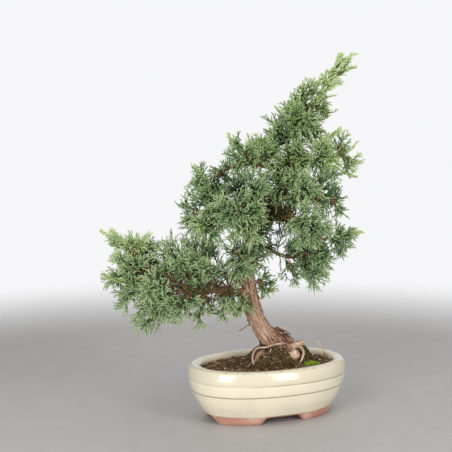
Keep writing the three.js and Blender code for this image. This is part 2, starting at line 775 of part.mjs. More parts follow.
function growStem(body, stem, base, first) {
  const { curve, length, radii, bare } = stem;
  const leafy = Math.max(0, length - TIP_LENGTH - BAND_LENGTH - bare);
  const steps = Math.round(leafy / BAND_STEP);
  stem.lastBand = steps;
  const rows = bare > 0 ? [{ at: bare, buds: false }] : [];
  for (let band = 0; band <= steps; band += 1) {
    const start = bare + (steps > 0 ? (leafy * band) / steps : 0);
    if (band > 0) rows.push({ at: start, buds: false });
    rows.push({ at: start + BAND_LENGTH, buds: true, band });
  }
  let ring = base;
  rows.forEach(({ at, buds, band }, row) => {
    const share = at / length;
    const forward = curve.getTangent(share);
    const radius = radii[0] + (radii[1] - radii[0]) * share;
    const next = ringCorners(body, curve.getPoint(share), forward, first, radius, row + 1);
    for (const corners of sectionCorners(ring, next)) {
      if (buds) body.buds.push({ corners, stem, band, share, forward, raised: false });
      else body.faces.push(corners);
    }
    ring = next;
  });
  const tip = addPoint(body, curve.getPoint(1));
  for (let step = 0; step < 3; step += 1) body.faces.push([ring[step], ring[(step + 1) % 3], tip]);
}

function middleOf(body, corners) {
  const sum = new THREE.Vector3();
  corners.forEach((index) => sum.add(body.points[index]));
  return sum.divideScalar(3);
}

// Direction straight out from the stem, over a bud
function outwardOf(body, { corners, forward }) {
  const [a, b, c] = corners.map((index) => body.points[index]);
  const normal = b.clone().sub(a).cross(c.clone().sub(a));
  return normal.addScaledVector(forward, -normal.dot(forward)).normalize();
}

function raiseStem(body, bud, stem) {
  const [a, b] = bud.corners.map((index) => body.points[index]);
  const forward = stem.curve.getTangent(0);
  const edge = a.clone().add(b).divideScalar(2).sub(middleOf(body, bud.corners));
  edge.addScaledVector(forward, -edge.dot(forward)).normalize();
  const first = edge.applyAxisAngle(forward, -Math.PI / 3);
  bud.raised = true;
  growStem(body, stem, bud.corners, first);
}

// A fork to a given tip leaves the bud that looks towards it most
function raiseFork(body, group, fork, band) {
  const target = fork.curve.v2;
  const free = body.buds.filter((bud) => (
    bud.stem === group.main && bud.band === Math.min(band, group.main.lastBand) && !bud.raised
  ));
  const towards = (bud) => (
    outwardOf(body, bud).dot(target.clone().sub(middleOf(body, bud.corners)).normalize())
  );
  const best = free.reduce((one, two) => (towards(two) > towards(one) ? two : one));
  const stem = leafyStem(middleOf(body, best.corners), target, {
    branchlet: fork.branchlet,
    bare: BARE_START,
  });
  group.stems[group.stems.indexOf(fork)] = stem;
  raiseStem(body, best, stem);
  return stem;
}

// A side stem over a bud, or nothing where there is no room for it
function sideStem(body, group, main, bud, reach) {
  const root = middleOf(body, bud.corners);
  const direction = bud.forward.clone().multiplyScalar(Math.cos(SIDE_STEM_LEAN));
  direction.addScaledVector(outwardOf(body, bud), Math.sin(SIDE_STEM_LEAN));
  const tip = root.clone().addScaledVector(direction, reach);
  tip.z += STEM_SAG * reach;
  const middle = root.clone().lerp(tip, HALFWAY);
  const kin = group.stems.filter((stem) => stem !== main);
  const room = Math.min(
    otherDistance(tip, group),
    otherDistance(middle, group) / NARROWER_HALFWAY,
    kin.length > 0 ? stemsDistance(tip, kin) : Infinity,
    woodRoom(tip),
    woodRoom(middle) / NARROWER_HALFWAY,
  );
  if (room < SIDE_STEM_ROOM) return null;
  return leafyStem(root, tip, {
    girth: SIDE_STEM_GIRTH,
    branchlet: SIDE_BRANCHLET_LENGTH * group.fullness,
    bare: BARE_START,
  });
}

// Side stems leave a main stem by the golden angle, where there is room for them
function raiseSideStems(body, group, main, count, draw) {
  const turn = 2 * Math.PI * draw();
  const [side, over] = acrossFrame(main.curve.getTangent(0.5));
  for (let number = 0; number < count; number += 1) {
    const band = Math.min(main.lastBand, Math.round((main.lastBand * number) / (count - 0.5)));
    const angle = turn + GOLDEN_ANGLE * number;
    const aim = side.clone().multiplyScalar(Math.cos(angle)).addScaledVector(over, Math.sin(angle));
    const bearer = Math.min(main.length, LONGEST_BEARER);
    const shortening = 1.1 - SIDE_STEM_SHORTENING * (number / count);
    const variety = 1 + SIDE_STEM_VARIETY * (draw() - 0.5);
    const reach = SIDE_STEM_SHARE * group.fullness * bearer * shortening * variety;
    const choices = body.buds
      .filter((bud) => bud.stem === main && bud.band === band && !bud.raised)
      .sort((one, two) => outwardOf(body, two).dot(aim) - outwardOf(body, one).dot(aim));
    for (const bud of choices) {
      const stem = sideStem(body, group, main, bud, reach);
      if (stem) {
        group.stems.push(stem);
        raiseStem(body, bud, stem);
        break;
      }
    }
  }
}

// Whether a line between two points goes through a triangle, or close by it
function pierces(from, to, [a, b, c]) {
  const along = to.clone().sub(from);
  const one = b.clone().sub(a);
  const two = c.clone().sub(a);
  const cross = along.clone().cross(two);
  const scale = one.dot(cross);
  if (Math.abs(scale) < LEVEL) return false;
  const start = from.clone().sub(a);
  const u = start.dot(cross) / scale;
  if (u < -NEAR_MISS || u > 1 + NEAR_MISS) return false;
  const turned = start.cross(one);
  const v = along.dot(turned) / scale;
  if (v < -NEAR_MISS || u + v > 1 + NEAR_MISS) return false;
  const share = two.dot(turned) / scale;
  return share > -NEAR_MISS && share < 1 + NEAR_MISS;
}

function facesCross(body, one, two) {
  const tests = [[one, two], [two, one]];
  return tests.some(([edges, face]) => [0, 1, 2].some((step) => {
    const start = edges[step];
    const end = edges[(step + 1) % 3];
    if (face.includes(start) || face.includes(end)) return false;
    return pierces(body.points[start], body.points[end], face.map((index) => body.points[index]));
  }));
}

// Whether a branchlet keeps to its own stem's room and touches nothing of its own group
function branchletFits(body, group, bud, peak) {
  const from = middleOf(body, bud.corners);
  const kin = group.stems.filter((stem) => stem !== bud.stem);
  for (const share of [0.4, 0.7, 1]) {
    const point = from.clone().lerp(body.points[peak], share);
    const thickness = BRANCHLET_GIRTH * (1 - share);
    const own = pathDistance(point, bud.stem.samples) + thickness;
    if (own + CLEARANCE > otherDistance(point, group)) return false;
    if (woodRoom(point) < CLEARANCE + thickness) return false;
    if (share === 1 && kin.length > 0 && own > stemsDistance(point, kin)) return false;
  }
  const [a, b, c] = bud.corners;
  const sides = [[a, b, peak], [b, c, peak], [c, a, peak]];
  const reach = from.distanceTo(body.points[peak]) + NEIGHBOUR_REACH;
  const near = [...body.faces, ...body.buds.filter(({ raised }) => !raised).map(({ corners }) => corners)]
    .filter((face) => face !== bud.corners && middleOf(body, face).distanceTo(from) < reach);
  return !sides.some((side) => near.some((face) => facesCross(body, side, face)));
}

function raiseBranchlet(body, group, bud, draw) {
  const { forward, share, stem, corners } = bud;
  const lean = BRANCHLET_LEAN * (1.1 - STRAIGHTENING * share) + LEAN_VARIETY * (draw() - 0.5);
  const outward = outwardOf(body, bud).applyAxisAngle(forward, TURN_VARIETY * (draw() - 0.5));
  const direction = forward.clone().multiplyScalar(Math.cos(lean));
  direction.addScaledVector(outward, Math.sin(lean));
  const middle = middleOf(body, corners);
  const taper = BRANCHLET_TAPER.first - BRANCHLET_TAPER.loss * share;
  const variety = BRANCHLET_VARIETY.least + BRANCHLET_VARIETY.more * draw();
  let long = stem.branchlet * taper * variety;
  const peak = addPoint(body, middle.clone().addScaledVector(direction, long));
  while (long >= SHORTEST_BRANCHLET && !branchletFits(body, group, bud, peak)) {
    long *= 0.8;
    body.points[peak].copy(middle).addScaledVector(direction, long);
  }
  if (long < SHORTEST_BRANCHLET) {
    body.points.pop();
    return;
  }
  const [a, b, c] = corners;
  bud.raised = true;
  body.faces.push([a, b, peak], [b, c, peak], [c, a, peak]);
}

// Stems first in every group, then the branchlets on the buds that are left
function growGroup(group) {
  const draw = seededDraw(group.seed);
  const body = { points: [], faces: [], buds: [] };
  const { main, heading } = group;
  const [first] = acrossFrame(heading);
  const base = ringCorners(body, main.curve.v0, heading, first, main.radii[0], 0);
  body.faces.push([base[0], base[2], base[1]]);
  growStem(body, main, base, first);
  const mains = [main, ...group.forks.map((fork, order) => raiseFork(body, group, fork, order))];
  const count = mains.length > 1 ? FORK_SIDE_STEMS : SIDE_STEMS;
  mains.forEach((stem) => raiseSideStems(body, group, stem, count, draw));
  return { body, draw };
}

const growing = groups.map(growGroup);

function foliage(group, { body, draw }) {
  for (const bud of body.buds) if (!bud.raised) raiseBranchlet(body, group, bud, draw);
  for (const bud of body.buds) if (!bud.raised) body.faces.push(bud.corners);
  return solid(body.points.flatMap((point) => point.toArray()), body.faces.flat());
}

// The whole object

const bonsai = new THREE.Group();
bonsai.position.set(POT_MIDDLE[0], POT_MIDDLE[1], 0);

bonsai.add(namedMesh("pot", pot(), "glaze"));
const meshBeds = [];
[-DRAIN_HOLE_OFFSET, DRAIN_HOLE_OFFSET].forEach((x, order) => {
  bonsai.add(namedMesh(`drain_mesh_${order + 1}`, drainMesh(x), "mesh"));
  const bed = new THREE.BoxGeometry(
    MESH_SIZE + 2 * SEAT_GAP,
    MESH_SIZE + 2 * SEAT_GAP,
    2 * (MESH_THICKNESS + 2 * SEAT_GAP),
  );
  bed.translate(x, 0, POT_INSIDE.at(-1)[1]);
  meshBeds.push(solidFromGeometry(bed));
});
bonsai.add(namedMesh("soil", soil([...meshBeds, ...stemHoles(), moss(SEAT_GAP)]), "soil"));
bonsai.add(namedMesh("moss", moss(0), "moss"));

const tree = new THREE.Group();
tree.rotation.z = TREE_TURN;
tree.add(namedMesh("wood", wood(), "bark"));
tree.add(namedMesh("straw", tubeSolid(strawStations, ROOT_SIDES), "straw"));
const counts = {};
groups.forEach((group, index) => {
  counts[group.limb] = (counts[group.limb] ?? 0) + 1;
  const name = `foliage_${group.limb}_${counts[group.limb]}`;
  tree.add(namedMesh(name, foliage(group, growing[index]), "leaf"));
});
bonsai.add(tree);

export default bonsai;
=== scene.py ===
"""Looks of a kishu juniper bonsai in a cream glazed pot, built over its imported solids.

Lengths in the tables are millimetres. The tables of the tree are drawn from the tree's own
front: x to the right, y away from the viewer, z up, from the middle of the pot.
"""

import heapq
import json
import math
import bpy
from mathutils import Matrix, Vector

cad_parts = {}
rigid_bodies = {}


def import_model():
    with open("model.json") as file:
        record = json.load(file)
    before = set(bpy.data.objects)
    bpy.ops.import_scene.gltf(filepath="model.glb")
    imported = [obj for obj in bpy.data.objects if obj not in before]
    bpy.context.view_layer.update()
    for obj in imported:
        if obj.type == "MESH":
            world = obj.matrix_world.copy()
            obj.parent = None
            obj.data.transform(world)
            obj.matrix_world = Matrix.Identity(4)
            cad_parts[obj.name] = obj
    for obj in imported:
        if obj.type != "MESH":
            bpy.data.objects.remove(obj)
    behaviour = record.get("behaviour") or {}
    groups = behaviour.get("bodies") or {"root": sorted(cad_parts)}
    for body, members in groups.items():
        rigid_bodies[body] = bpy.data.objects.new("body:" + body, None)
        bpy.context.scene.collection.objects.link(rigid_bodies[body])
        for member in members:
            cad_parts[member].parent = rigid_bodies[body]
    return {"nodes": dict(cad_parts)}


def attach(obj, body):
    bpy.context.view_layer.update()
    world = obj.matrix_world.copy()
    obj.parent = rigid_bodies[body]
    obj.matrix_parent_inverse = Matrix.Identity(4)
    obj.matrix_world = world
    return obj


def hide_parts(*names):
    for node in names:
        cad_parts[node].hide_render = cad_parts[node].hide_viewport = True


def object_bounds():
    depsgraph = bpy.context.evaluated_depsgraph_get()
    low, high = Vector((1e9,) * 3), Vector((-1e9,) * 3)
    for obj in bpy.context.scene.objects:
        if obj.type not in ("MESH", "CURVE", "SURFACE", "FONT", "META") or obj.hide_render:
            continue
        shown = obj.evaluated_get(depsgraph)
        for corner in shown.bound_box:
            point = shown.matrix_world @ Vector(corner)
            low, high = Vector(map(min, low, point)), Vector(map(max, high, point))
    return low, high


bl_info = {
    "name": "Potted juniper bonsai",
    "version": (1, 0, 0),
    "blender": (4, 5, 0),
    "location": "View3D > Sidebar > Bonsai",
    "description": "Builds a juniper bonsai with its glazed pot, soil, moss and foliage",
    "category": "Add Mesh",
}

from collections import namedtuple

import bpy
import numpy as np
from mathutils import Matrix, Vector, noise

for spare in list(bpy.data.objects):
    bpy.data.objects.remove(spare)
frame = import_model()
CAD_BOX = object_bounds()
MM = 0.001
BODY = "root"
# Name of the corner map that the finishes read. Name of the map that the export keeps
BAKED_MAP = "OFBake"

POT_MIDDLE = np.array([32.5, -18.65, 0.0])
TREE_TURN = math.radians(-21.3)

# Pot: how square its oval is, and how much narrower than long
POT_SQUARENESS = 2.23
POT_NARROWING = 26.0
POT_SIDES = 288
WIDEST_HALF = 78.0
FOOT_HEIGHT = 7.3
FOOT_OUTSIDE = 63.9
FOOT_INSIDE = FOOT_OUTSIDE - 9.5
# Foot: half its length, and the share of the way up from the ground or from an arch
FOOT_PROFILE = [(FOOT_INSIDE, 1.0), (FOOT_INSIDE + 0.6, 0.1), (FOOT_INSIDE + 1.6, 0.0),
                (FOOT_OUTSIDE - 1.0, 0.0), (FOOT_OUTSIDE, 0.06), (FOOT_OUTSIDE + 0.7, 0.3),
                (FOOT_OUTSIDE + 2.3, 0.7)]
# Wall, lip and inside: half the length, and the height
WALL_START = (67.1, 8.3)
GLAZE_LINE = 8.8
GROOVES = (30.3, 41.5)
LIP_TOP = 55.3
POT_OUTSIDE = [
    (67.8, 9.0), (70.9, 14.0), (73.8, 19.0), (76.0, 24.2), (77.7, 29.3), (77.9, 30.1),
    (78.8, 31.4), (79.9, 36.0), (80.6, 40.4), (80.5, 41.4), (81.0, 42.6), (81.1, 45.5),
    (80.9, 48.0), (79.9, 52.0), (78.4, 54.4), (76.2, 55.3), (73.2, 55.2), (70.6, 54.5),
    (69.1, 53.2), (68.7, 51.6), (69.6, 48.0), (71.5, 42.0),
]
POT_INSIDE = [(71.5, 42.0), (70.4, 33.0), (68.5, 25.0), (65.0, 19.0), (61.0, 16.0)]
POT_FLOOR = 16.0
FLOOR_SHARES = (0.97, 0.8, 0.6, 0.4, 0.2)
# Arches between the feet: width at the ground and at the top
FRONT_GAP = (47.0, 31.0)
END_GAP = (34.0, 20.0)
DRAIN_HOLE_OFFSET = 28.0
DRAIN_HOLE_SIDES = 40
# Heights between which the drain holes are cut
DRAIN_CUT = (3.0, 22.0)

# Soil, level near the wall and mounded up to the roots
SOIL_LEVEL = 50.0
SOIL_EDGE = 69.2
SOIL_SIDES = 220
SOIL_BOTTOM = 17.0
MOUND_HEIGHT = 21.0
MOUND_RADIUS = 22.0
MOUND_TOP = (11.0, 3.0)
SOIL_RIPPLE = 0.5
# Lower humps and a dip by the mound: x and y in the tree's frame, reach along the pot's sides,
# and height
HUMPS = [(-14, 3, 11, 14, 6.5), (38, 8.5, 6.5, 5.8, 12.8), (-11, -15, 6, 5, 2.5),
         (34.5, -7, 9, 7, -5)]

# Trunk: x, y, z and radius
TRUNK = [
    (20, 5, 44, 11), (16, 4, 58, 12.2), (11, 3, 67, 11.8), (6, 3, 73.5, 10.4),
    (-1.8, 3, 81, 8.6), (-8.2, 2, 91, 7.7), (-12.8, 0, 103, 7.7), (-16, 0, 115, 7.4),
    (-18, 2, 130, 6.4),
    (-20, 5, 152, 5.6), (-19, 6, 171, 5.2), (-11, 4, 186, 5.4), (2, 0, 201, 7.2),
    (13, 0, 219, 4.4), (22, 2, 244, 3.8), (27, 4, 260, 3.3), (31, 4, 278, 2.8),
    (36, 2, 293, 2.4), (46, 0, 306, 2.0), (53, 0, 319, 1.6),
]
TRUNK_PATH = [row[:3] for row in TRUNK]
# How old the bark looks at each height, where 1 is old and 0 is a green twig's
TRUNK_AGES = [(60, 1.0), (95, 0.85), (120, 0.45), (200, 0.35), (320, 0.15)]
TRUNK_RIDGES = 5
RIDGE_DEPTH = 0.07
RIDGE_TWIST = 9.8
END_BULGE = 0.7

# Limbs, each from inside the trunk to its last fork, and the radius at each end
LIMBS = {
    "low_left": ([(-16, 0, 115), (-31, -6, 125), (-52, -14, 128), (-76, -18, 129),
                  (-95, -16, 140), (-113, -10, 143), (-122, -4, 155)], (4.2, 1.8)),
    "low_back": ([(-18, 2, 130), (-42, 25, 137), (-73, 42, 148), (-104, 48, 150)], (3.0, 1.5)),
    "right_low": ([(-19, 5, 162), (-5, 4, 168), (13, -8, 161), (26, -12, 159),
                   (42, -12, 164)], (2.2, 1.4)),
    "mid_left": ([(-11, 4, 188), (-26, -4, 201), (-46, -12, 207), (-60, -14, 205)], (2.8, 1.5)),
    "mid_front": ([(1, 0, 201), (-10, -20, 210), (-25, -34, 211)], (2.4, 1.5)),
    "mid_back": ([(3, 2, 202), (-12, 26, 214), (-32, 42, 214)], (2.4, 1.5)),
    "up_left": ([(21, 2, 242), (1, -4, 248), (-20, -8, 251), (-40, -8, 245),
                 (-54, -6, 236)], (2.6, 1.4)),
    "up_back": ([(23, 3, 246), (16, 22, 253), (2, 36, 256)], (2.0, 1.4)),
    "right_mid": ([(13, 0, 219), (30, -8, 219), (46, -13, 217), (56, -15, 215)], (2.4, 1.4)),
    "right_front": ([(5, 0, 203), (18, -18, 202), (31, -32, 195)], (2.4, 1.4)),
    "right_up": ([(24, 2, 246), (40, -5, 252), (55, -7, 256), (64, -6, 257)], (2.2, 1.4)),
    "right_back": ([(16, 2, 224), (34, 22, 225), (50, 36, 219)], (2.2, 1.4)),
    "right_hang": ([(3, 2, 200), (22, 8, 193), (43, 8, 182), (58, 4, 174)], (2.6, 1.4)),
}

# Roots that lie in the soil: x, y and height above the soil under them, radius at each end
ROOTS = {
    "front": ([(14, 2, -5), (15, -9, -6.4), (15, -19, -6), (12, -29, -10)], (4.8, 2.2)),
    "right": ([(18, 6, -4), (30, 9, -1), (42, 12, -2.6), (52, 14, -7)], (4.6, 1.8)),
    "back_right": ([(18, 8, -4), (24, 18, 0), (31, 28, -0.8), (34, 35, -7)], (4.6, 2.0)),
    "back_left": ([(12, 8, -4), (4, 18, -1), (-6, 27, -1.8), (-10, 33, -7)], (4.4, 1.9)),
    "far_left": ([(9, 4, -4), (-3, 6, -1.4), (-13, 9, -1.8), (-22, 10, -7)], (4.2, 1.7)),
}
# Bare roots over the mound: x, y and z, the radius at each end, how old they look, where
# over 1.25 is pale, and how rough they are
BARE_ROOTS = {
    "cut_stub": ([(12, 2, 64), (19, -3, 67.4), (25, -4, 69.4), (31, -4, 71.4), (35.6, -4, 73)],
                 (4.0, 2.6), 1.4, 1.5),
    "left": ([(6, -1, 66), (-3, -6, 65), (-8.4, -10, 62.5), (-10.6, -12.5, 58), (-10, -15.5, 53),
              (-6, -18, 47)], (1.3, 2.8), 0.6, 2.2),
    "pale_arch": ([(28, -3, 68), (33.2, -9, 69), (35.6, -10, 64.5), (34.2, -11, 58.5),
                   (31, -13, 53), (29, -14, 48)], (1.2, 0.85), 1.6, 0.7),
    "pale_thin": ([(20, -2, 69), (16.2, -9, 73), (11.2, -11, 73), (6.3, -12.5, 72.5),
                   (2.2, -13, 71.2), (-1.8, -13.5, 70), (-7.7, -13.5, 69.6), (-11.8, -13, 68),
                   (-14.6, -14, 63.5), (-15.2, -16, 58), (-13, -18, 52), (-11, -19, 47)],
                  (1.15, 0.6), 1.5, 0.6),
}
# The burl, and the knob where the stub was cut: place, radius, age and seed
KNOBS = [((25.7, -9, 61), 5.7, 1.6, 5.0), ((25.5, -5.6, 69.6), 3.4, 1.4, 9.0)]
DEAD_TWIG = ([(-10, 1, 95), (-17, -1, 91), (-28, -6, 85)], (0.8, 0.35))
STRAW = ([(56, 22, 44), (57.5, 22, 50), (59.4, 22, 56.6), (55, 21, 63), (50.8, 20, 69.4)],
         (1.35, 0.85))
MOSS_PLACE = (42, -3.4)
MOSS_RADII = (9.6, 7.0)
MOSS_LEAVES = 4200
OLD_MOSS_LEAVES = 7000
PUMICE_GRAINS = 30


# Small helpers

def turned(points):
    """Points of the tree's own frame, in the object's frame."""
    points = np.asarray(points, float).reshape(-1, 3)
    cos, sin = math.cos(TREE_TURN), math.sin(TREE_TURN)
    x = cos * points[:, 0] - sin * points[:, 1]
    y = sin * points[:, 0] + cos * points[:, 1]
    return np.stack([x, y, points[:, 2]], 1) + POT_MIDDLE


def turned_ways(ways):
    """Directions of the tree's own frame, in the object's frame."""
    return turned(ways) - POT_MIDDLE


def in_pot(x, y):
    """x and y of the tree's own frame, along the pot's sides."""
    cos, sin = math.cos(TREE_TURN), math.sin(TREE_TURN)
    return cos * x - sin * y, sin * x + cos * y


def soil_height(x, y):
    """Height of the soil at x and y from the middle of the pot, along the pot's sides."""
    mound_x, mound_y = in_pot(*MOUND_TOP)
    distance = np.hypot(x - mound_x, y - mound_y) / MOUND_RADIUS
    height = SOIL_LEVEL + MOUND_HEIGHT * np.exp(-(distance ** 3))
    height = height + SOIL_RIPPLE * np.sin(x * 0.23 + 1) * np.cos(y * 0.31)
    for hump_x, hump_y, along, beside, rise in HUMPS:
        middle = in_pot(hump_x, hump_y)
        gap = ((x - middle[0]) / along) ** 2 + ((y - middle[1]) / beside) ** 2
        height = height + rise * np.exp(-gap)
    return height


def unit(vectors):
    vectors = np.asarray(vectors, float)
    return vectors / np.maximum(np.linalg.norm(vectors, axis=-1, keepdims=True), 1e-9)


def across(directions):
    """Two unit vectors square to each direction."""
    flat = np.abs(directions[:, 2:3]) > 0.9
    reference = np.where(flat, [[1.0, 0, 0]], [[0, 0, 1.0]])
    side = unit(np.cross(reference, directions))
    return side, np.cross(directions, side)


def mesh_object(name, points, faces, smooth=True, uv=None, values=None):
    """Object from points in millimetres and arrays of faces, each array of one face size.

    uv holds one pair for every corner, in the order of the faces, and values holds a
    number for every point under each name."""
    mesh = bpy.data.meshes.new(name)
    points = np.asarray(points, float) * MM
    faces = [np.asarray(group, int) for group in faces if len(group)]
    corners = np.concatenate([group.ravel() for group in faces])
    sizes = np.concatenate([np.full(len(group), group.shape[1]) for group in faces])
    mesh.vertices.add(len(points))
    mesh.vertices.foreach_set("co", points.astype(np.float32).ravel())
    mesh.loops.add(len(corners))
    mesh.loops.foreach_set("vertex_index", corners.astype(np.int32))
    mesh.polygons.add(len(sizes))
    starts = np.concatenate([[0], np.cumsum(sizes)[:-1]])
    mesh.polygons.foreach_set("loop_start", starts.astype(np.int32))
    mesh.polygons.foreach_set("use_smooth", np.full(len(sizes), smooth))
    if uv is not None:
        layer = mesh.uv_layers.new(name=BAKED_MAP)
        layer.data.foreach_set("uv", np.asarray(uv, np.float32).ravel())
    mesh.update(calc_edges=True)
    for label, numbers in (values or {}).items():
        attribute = mesh.attributes.new(label, "FLOAT", "POINT")
        attribute.data.foreach_set("value", np.asarray(numbers, np.float32))
    piece = bpy.data.objects.new(name, mesh)
    bpy.context.scene.collection.objects.link(piece)
    return piece


def finish_piece(piece, material, slot, *nodes):
    """Gives a piece its material, lets it ride, and hides what it stands for. The slot is not used."""
    piece.data.materials.append(material)
    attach(piece, BODY)
    if nodes:
        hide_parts(*nodes)
    return piece


def set_in_place(piece):
    """Moves a piece that was made about the middle of the pot to where the pot stands."""
    piece.data.transform(Matrix.Translation(POT_MIDDLE * MM))
    return piece


class Mould:
    """Points, faces and values gathered from several tubes and shells."""

    def __init__(self):
        self.points, self.quads, self.triangles, self.values = [], [], [], {}
        self.count = 0

    def add(self, points, quads=(), triangles=(), **values):
        points = np.asarray(points, float).reshape(-1, 3)
        self.points.append(points)
        if len(quads):
            self.quads.append(np.asarray(quads, int) + self.count)
        if len(triangles):
            self.triangles.append(np.asarray(triangles, int) + self.count)
        for label, numbers in values.items():
            numbers = np.broadcast_to(np.asarray(numbers, float), (len(points),))
            self.values.setdefault(label, []).append(numbers)
        self.count += len(points)

    def object(self, name, smooth=True):
        faces = [np.concatenate(group) for group in (self.quads, self.triangles) if group]
        values = {label: np.concatenate(parts) for label, parts in self.values.items()}
        return mesh_object(name, np.concatenate(self.points), faces, smooth, values=values)


# Curves

def smooth_path(path, step=None, count=None):
    """Even stations along a centripetal Catmull-Rom curve: points, directions, lengths."""
    path = np.asarray(path, float)
    ends = np.vstack([2 * path[0] - path[1], path, 2 * path[-1] - path[-2]])
    share = np.linspace(0, 1, 60, endpoint=False)[:, None]
    fine = []
    for a, b, c, d in zip(ends, ends[1:], ends[2:], ends[3:]):
        gaps = [max(np.linalg.norm(q - p) ** 0.5, 1e-4) for p, q in ((a, b), (b, c), (c, d))]
        first = (b - a) / gaps[0] - (c - a) / (gaps[0] + gaps[1]) + (c - b) / gaps[1]
        last = (c - b) / gaps[1] - (d - b) / (gaps[1] + gaps[2]) + (d - c) / gaps[2]
        first, last = first * gaps[1], last * gaps[1]
        square = 3 * (c - b) - 2 * first - last
        cube = 2 * (b - c) + first + last
        fine.append(b + first * share + square * share ** 2 + cube * share ** 3)
    fine = np.vstack(fine + [path[-1:]])
    lengths = np.concatenate([[0], np.cumsum(np.linalg.norm(np.diff(fine, axis=0), axis=1))])
    rows = count or max(2, round(lengths[-1] / step))
    wanted = np.linspace(0, lengths[-1], rows + 1)
    points = np.stack([np.interp(wanted, lengths, fine[:, axis]) for axis in range(3)], 1)
    directions = unit(np.gradient(points, axis=0))
    return points, directions, wanted


def carried_sides(directions):
    """Side vectors that turn as little as they can along a path."""
    side = across(directions[:1])[0][0]
    sides = []
    for direction in directions:
        side = unit(side - direction * (side @ direction))
        sides.append(side)
    sides = np.array(sides)
    return sides, np.cross(directions, sides)


def round_angles(sides):
    return np.linspace(0, 2 * np.pi, sides, endpoint=False)


def ring_quads(rows, sides):
    """Faces between rings of points that follow one another."""
    here = (np.arange(rows - 1)[:, None] * sides + np.arange(sides)).ravel()
    after = (np.arange(rows - 1)[:, None] * sides + (np.arange(sides) + 1) % sides).ravel()
    return np.stack([here, after, after + sides, here + sides], 1)


def fan(first, sides, middle):
    """Triangles from the ring that starts at the first point to the middle point."""
    steps = np.arange(sides)
    return np.stack([first + steps, first + (steps + 1) % sides, np.full(sides, middle)], 1)


def closed_rings(rows, sides):
    """Quads of a stack of rings, and fans to the low and the high point that follow it."""
    count = rows * sides
    low = fan(0, sides, count)[:, [1, 0, 2]]
    high = fan(count - sides, sides, count + 1)
    return ring_quads(rows, sides), np.vstack([low, high])


def ring_stack(middles, side, over, reach, angles, flat=1.0):
    """Rings of points round the middles, each with its own reach in every direction."""
    return (middles[:, None] + side[:, None] * (reach * np.cos(angles))[..., None]
            + over[:, None] * (reach * np.sin(angles) * flat)[..., None])


# Shader maths

class Maths:
    """A socket of a material's nodes that takes part in Python arithmetic."""

    def __init__(self, finish, socket):
        self.finish, self.socket = finish, socket

    def _combine(self, operation, other, reflected=False):
        pair = (other, self) if reflected else (self, other)
        return self.finish.node("ShaderNodeMath", {"operation": operation}, *pair)

    def __add__(self, other):
        return self._combine("ADD", other)

    __radd__ = __add__

    def __sub__(self, other):
        return self._combine("SUBTRACT", other)

    def __rsub__(self, other):
        return self._combine("SUBTRACT", other, True)

    def __mul__(self, other):
        return self._combine("MULTIPLY", other)

    __rmul__ = __mul__

    def __truediv__(self, other):
        return self._combine("DIVIDE", other)

    def __abs__(self):
        return self.finish.node("ShaderNodeMath", {"operation": "ABSOLUTE"}, self)

    def sine(self):
        return self.finish.node("ShaderNodeMath", {"operation": "SINE"}, self)


def socket_label(label):
    """roughness for Roughness, and specular_ior_level for Specular IOR Level"""
    return label.replace("_", " ").title().replace("Ior", "IOR")


class Finish:
    """Nodes of one material."""

    def __init__(self, name, **shader):
        self.material = bpy.data.materials.new(name)
        self.material.use_nodes = True
        self.tree = self.material.node_tree
        self.shader = self.tree.nodes["Principled BSDF"]
        for label, value in shader.items():
            self.shader.inputs[socket_label(label)].default_value = value

    def node(self, kind, settings=None, *values, output=0, **named):
        """Adds a node with its settings, then fills its sockets with values or links."""
        made = self.tree.nodes.new(kind)
        for label, value in (settings or {}).items():
            if label == "stops":
                self._stops(made.color_ramp, value)
            else:
                setattr(made, label, value)
        for place, value in [*enumerate(values), *named.items()]:
            if value is None:
                continue
            socket = made.inputs[place]
            if isinstance(value, Maths):
                self.tree.links.new(value.socket, socket)
            else:
                socket.default_value = value
        return Maths(self, made.outputs[output])

    def _stops(self, ramp, stops):
        while len(ramp.elements) < len(stops):
            ramp.elements.new(1.0)
        for element, (place, colour) in zip(ramp.elements, stops):
            element.position = place
            element.color = (*colour, 1.0)

    def ramp(self, value, *stops):
        return self.node("ShaderNodeValToRGB", {"stops": stops}, value)

    def range(self, value, low, high):
        """value's way from low to high, smoothed, from 0 to 1."""
        settings = {"interpolation_type": "SMOOTHSTEP"}
        return self.node("ShaderNodeMapRange", settings, value, low, high)

    def mix(self, share, one, two):
        """The colour on the way from one to two; sockets 6 and 7 are the node's colours."""
        one, two = (end if isinstance(end, Maths) else (*end, 1.0) for end in (one, two))
        return self.node("ShaderNodeMix", {"data_type": "RGBA"}, share, *[None] * 5, one, two,
                         output=2)

    def place(self):
        return self.node("ShaderNodeTexCoord", output=3)

    def height(self, place):
        """Height over the ground in millimetres."""
        return self.parts(place)[2] / MM

    def map(self):
        """The two numbers that a corner's map holds."""
        return self.parts(self.node("ShaderNodeUVMap", {"uv_map": BAKED_MAP}))[:2]

    def parts(self, vector):
        split = self.node("ShaderNodeSeparateXYZ", None, vector)
        return [Maths(self, output) for output in split.socket.node.outputs]

    def vector(self, x, y, z=0.0):
        return self.node("ShaderNodeCombineXYZ", None, x, y, z)

    def value(self, label):
        return self.node("ShaderNodeAttribute", {"attribute_name": label}, output=2)

    def noise(self, vector, scale, detail=4.0, roughness=0.55):
        return self.node("ShaderNodeTexNoise", None, Vector=vector, Scale=scale,
                         Detail=detail, Roughness=roughness)

    def cells(self, vector, scale):
        return self.node("ShaderNodeTexVoronoi", None, Vector=vector, Scale=scale)

    def set(self, **links):
        for label, value in links.items():
            socket = self.shader.inputs[socket_label(label)]
            self.tree.links.new(value.socket, socket)

    def relief(self, height, depth, strength=1.0):
        bump = self.node("ShaderNodeBump", None, Height=height, Distance=depth * MM,
                         Strength=strength)
        self.tree.links.new(bump.socket, self.shader.inputs["Normal"])


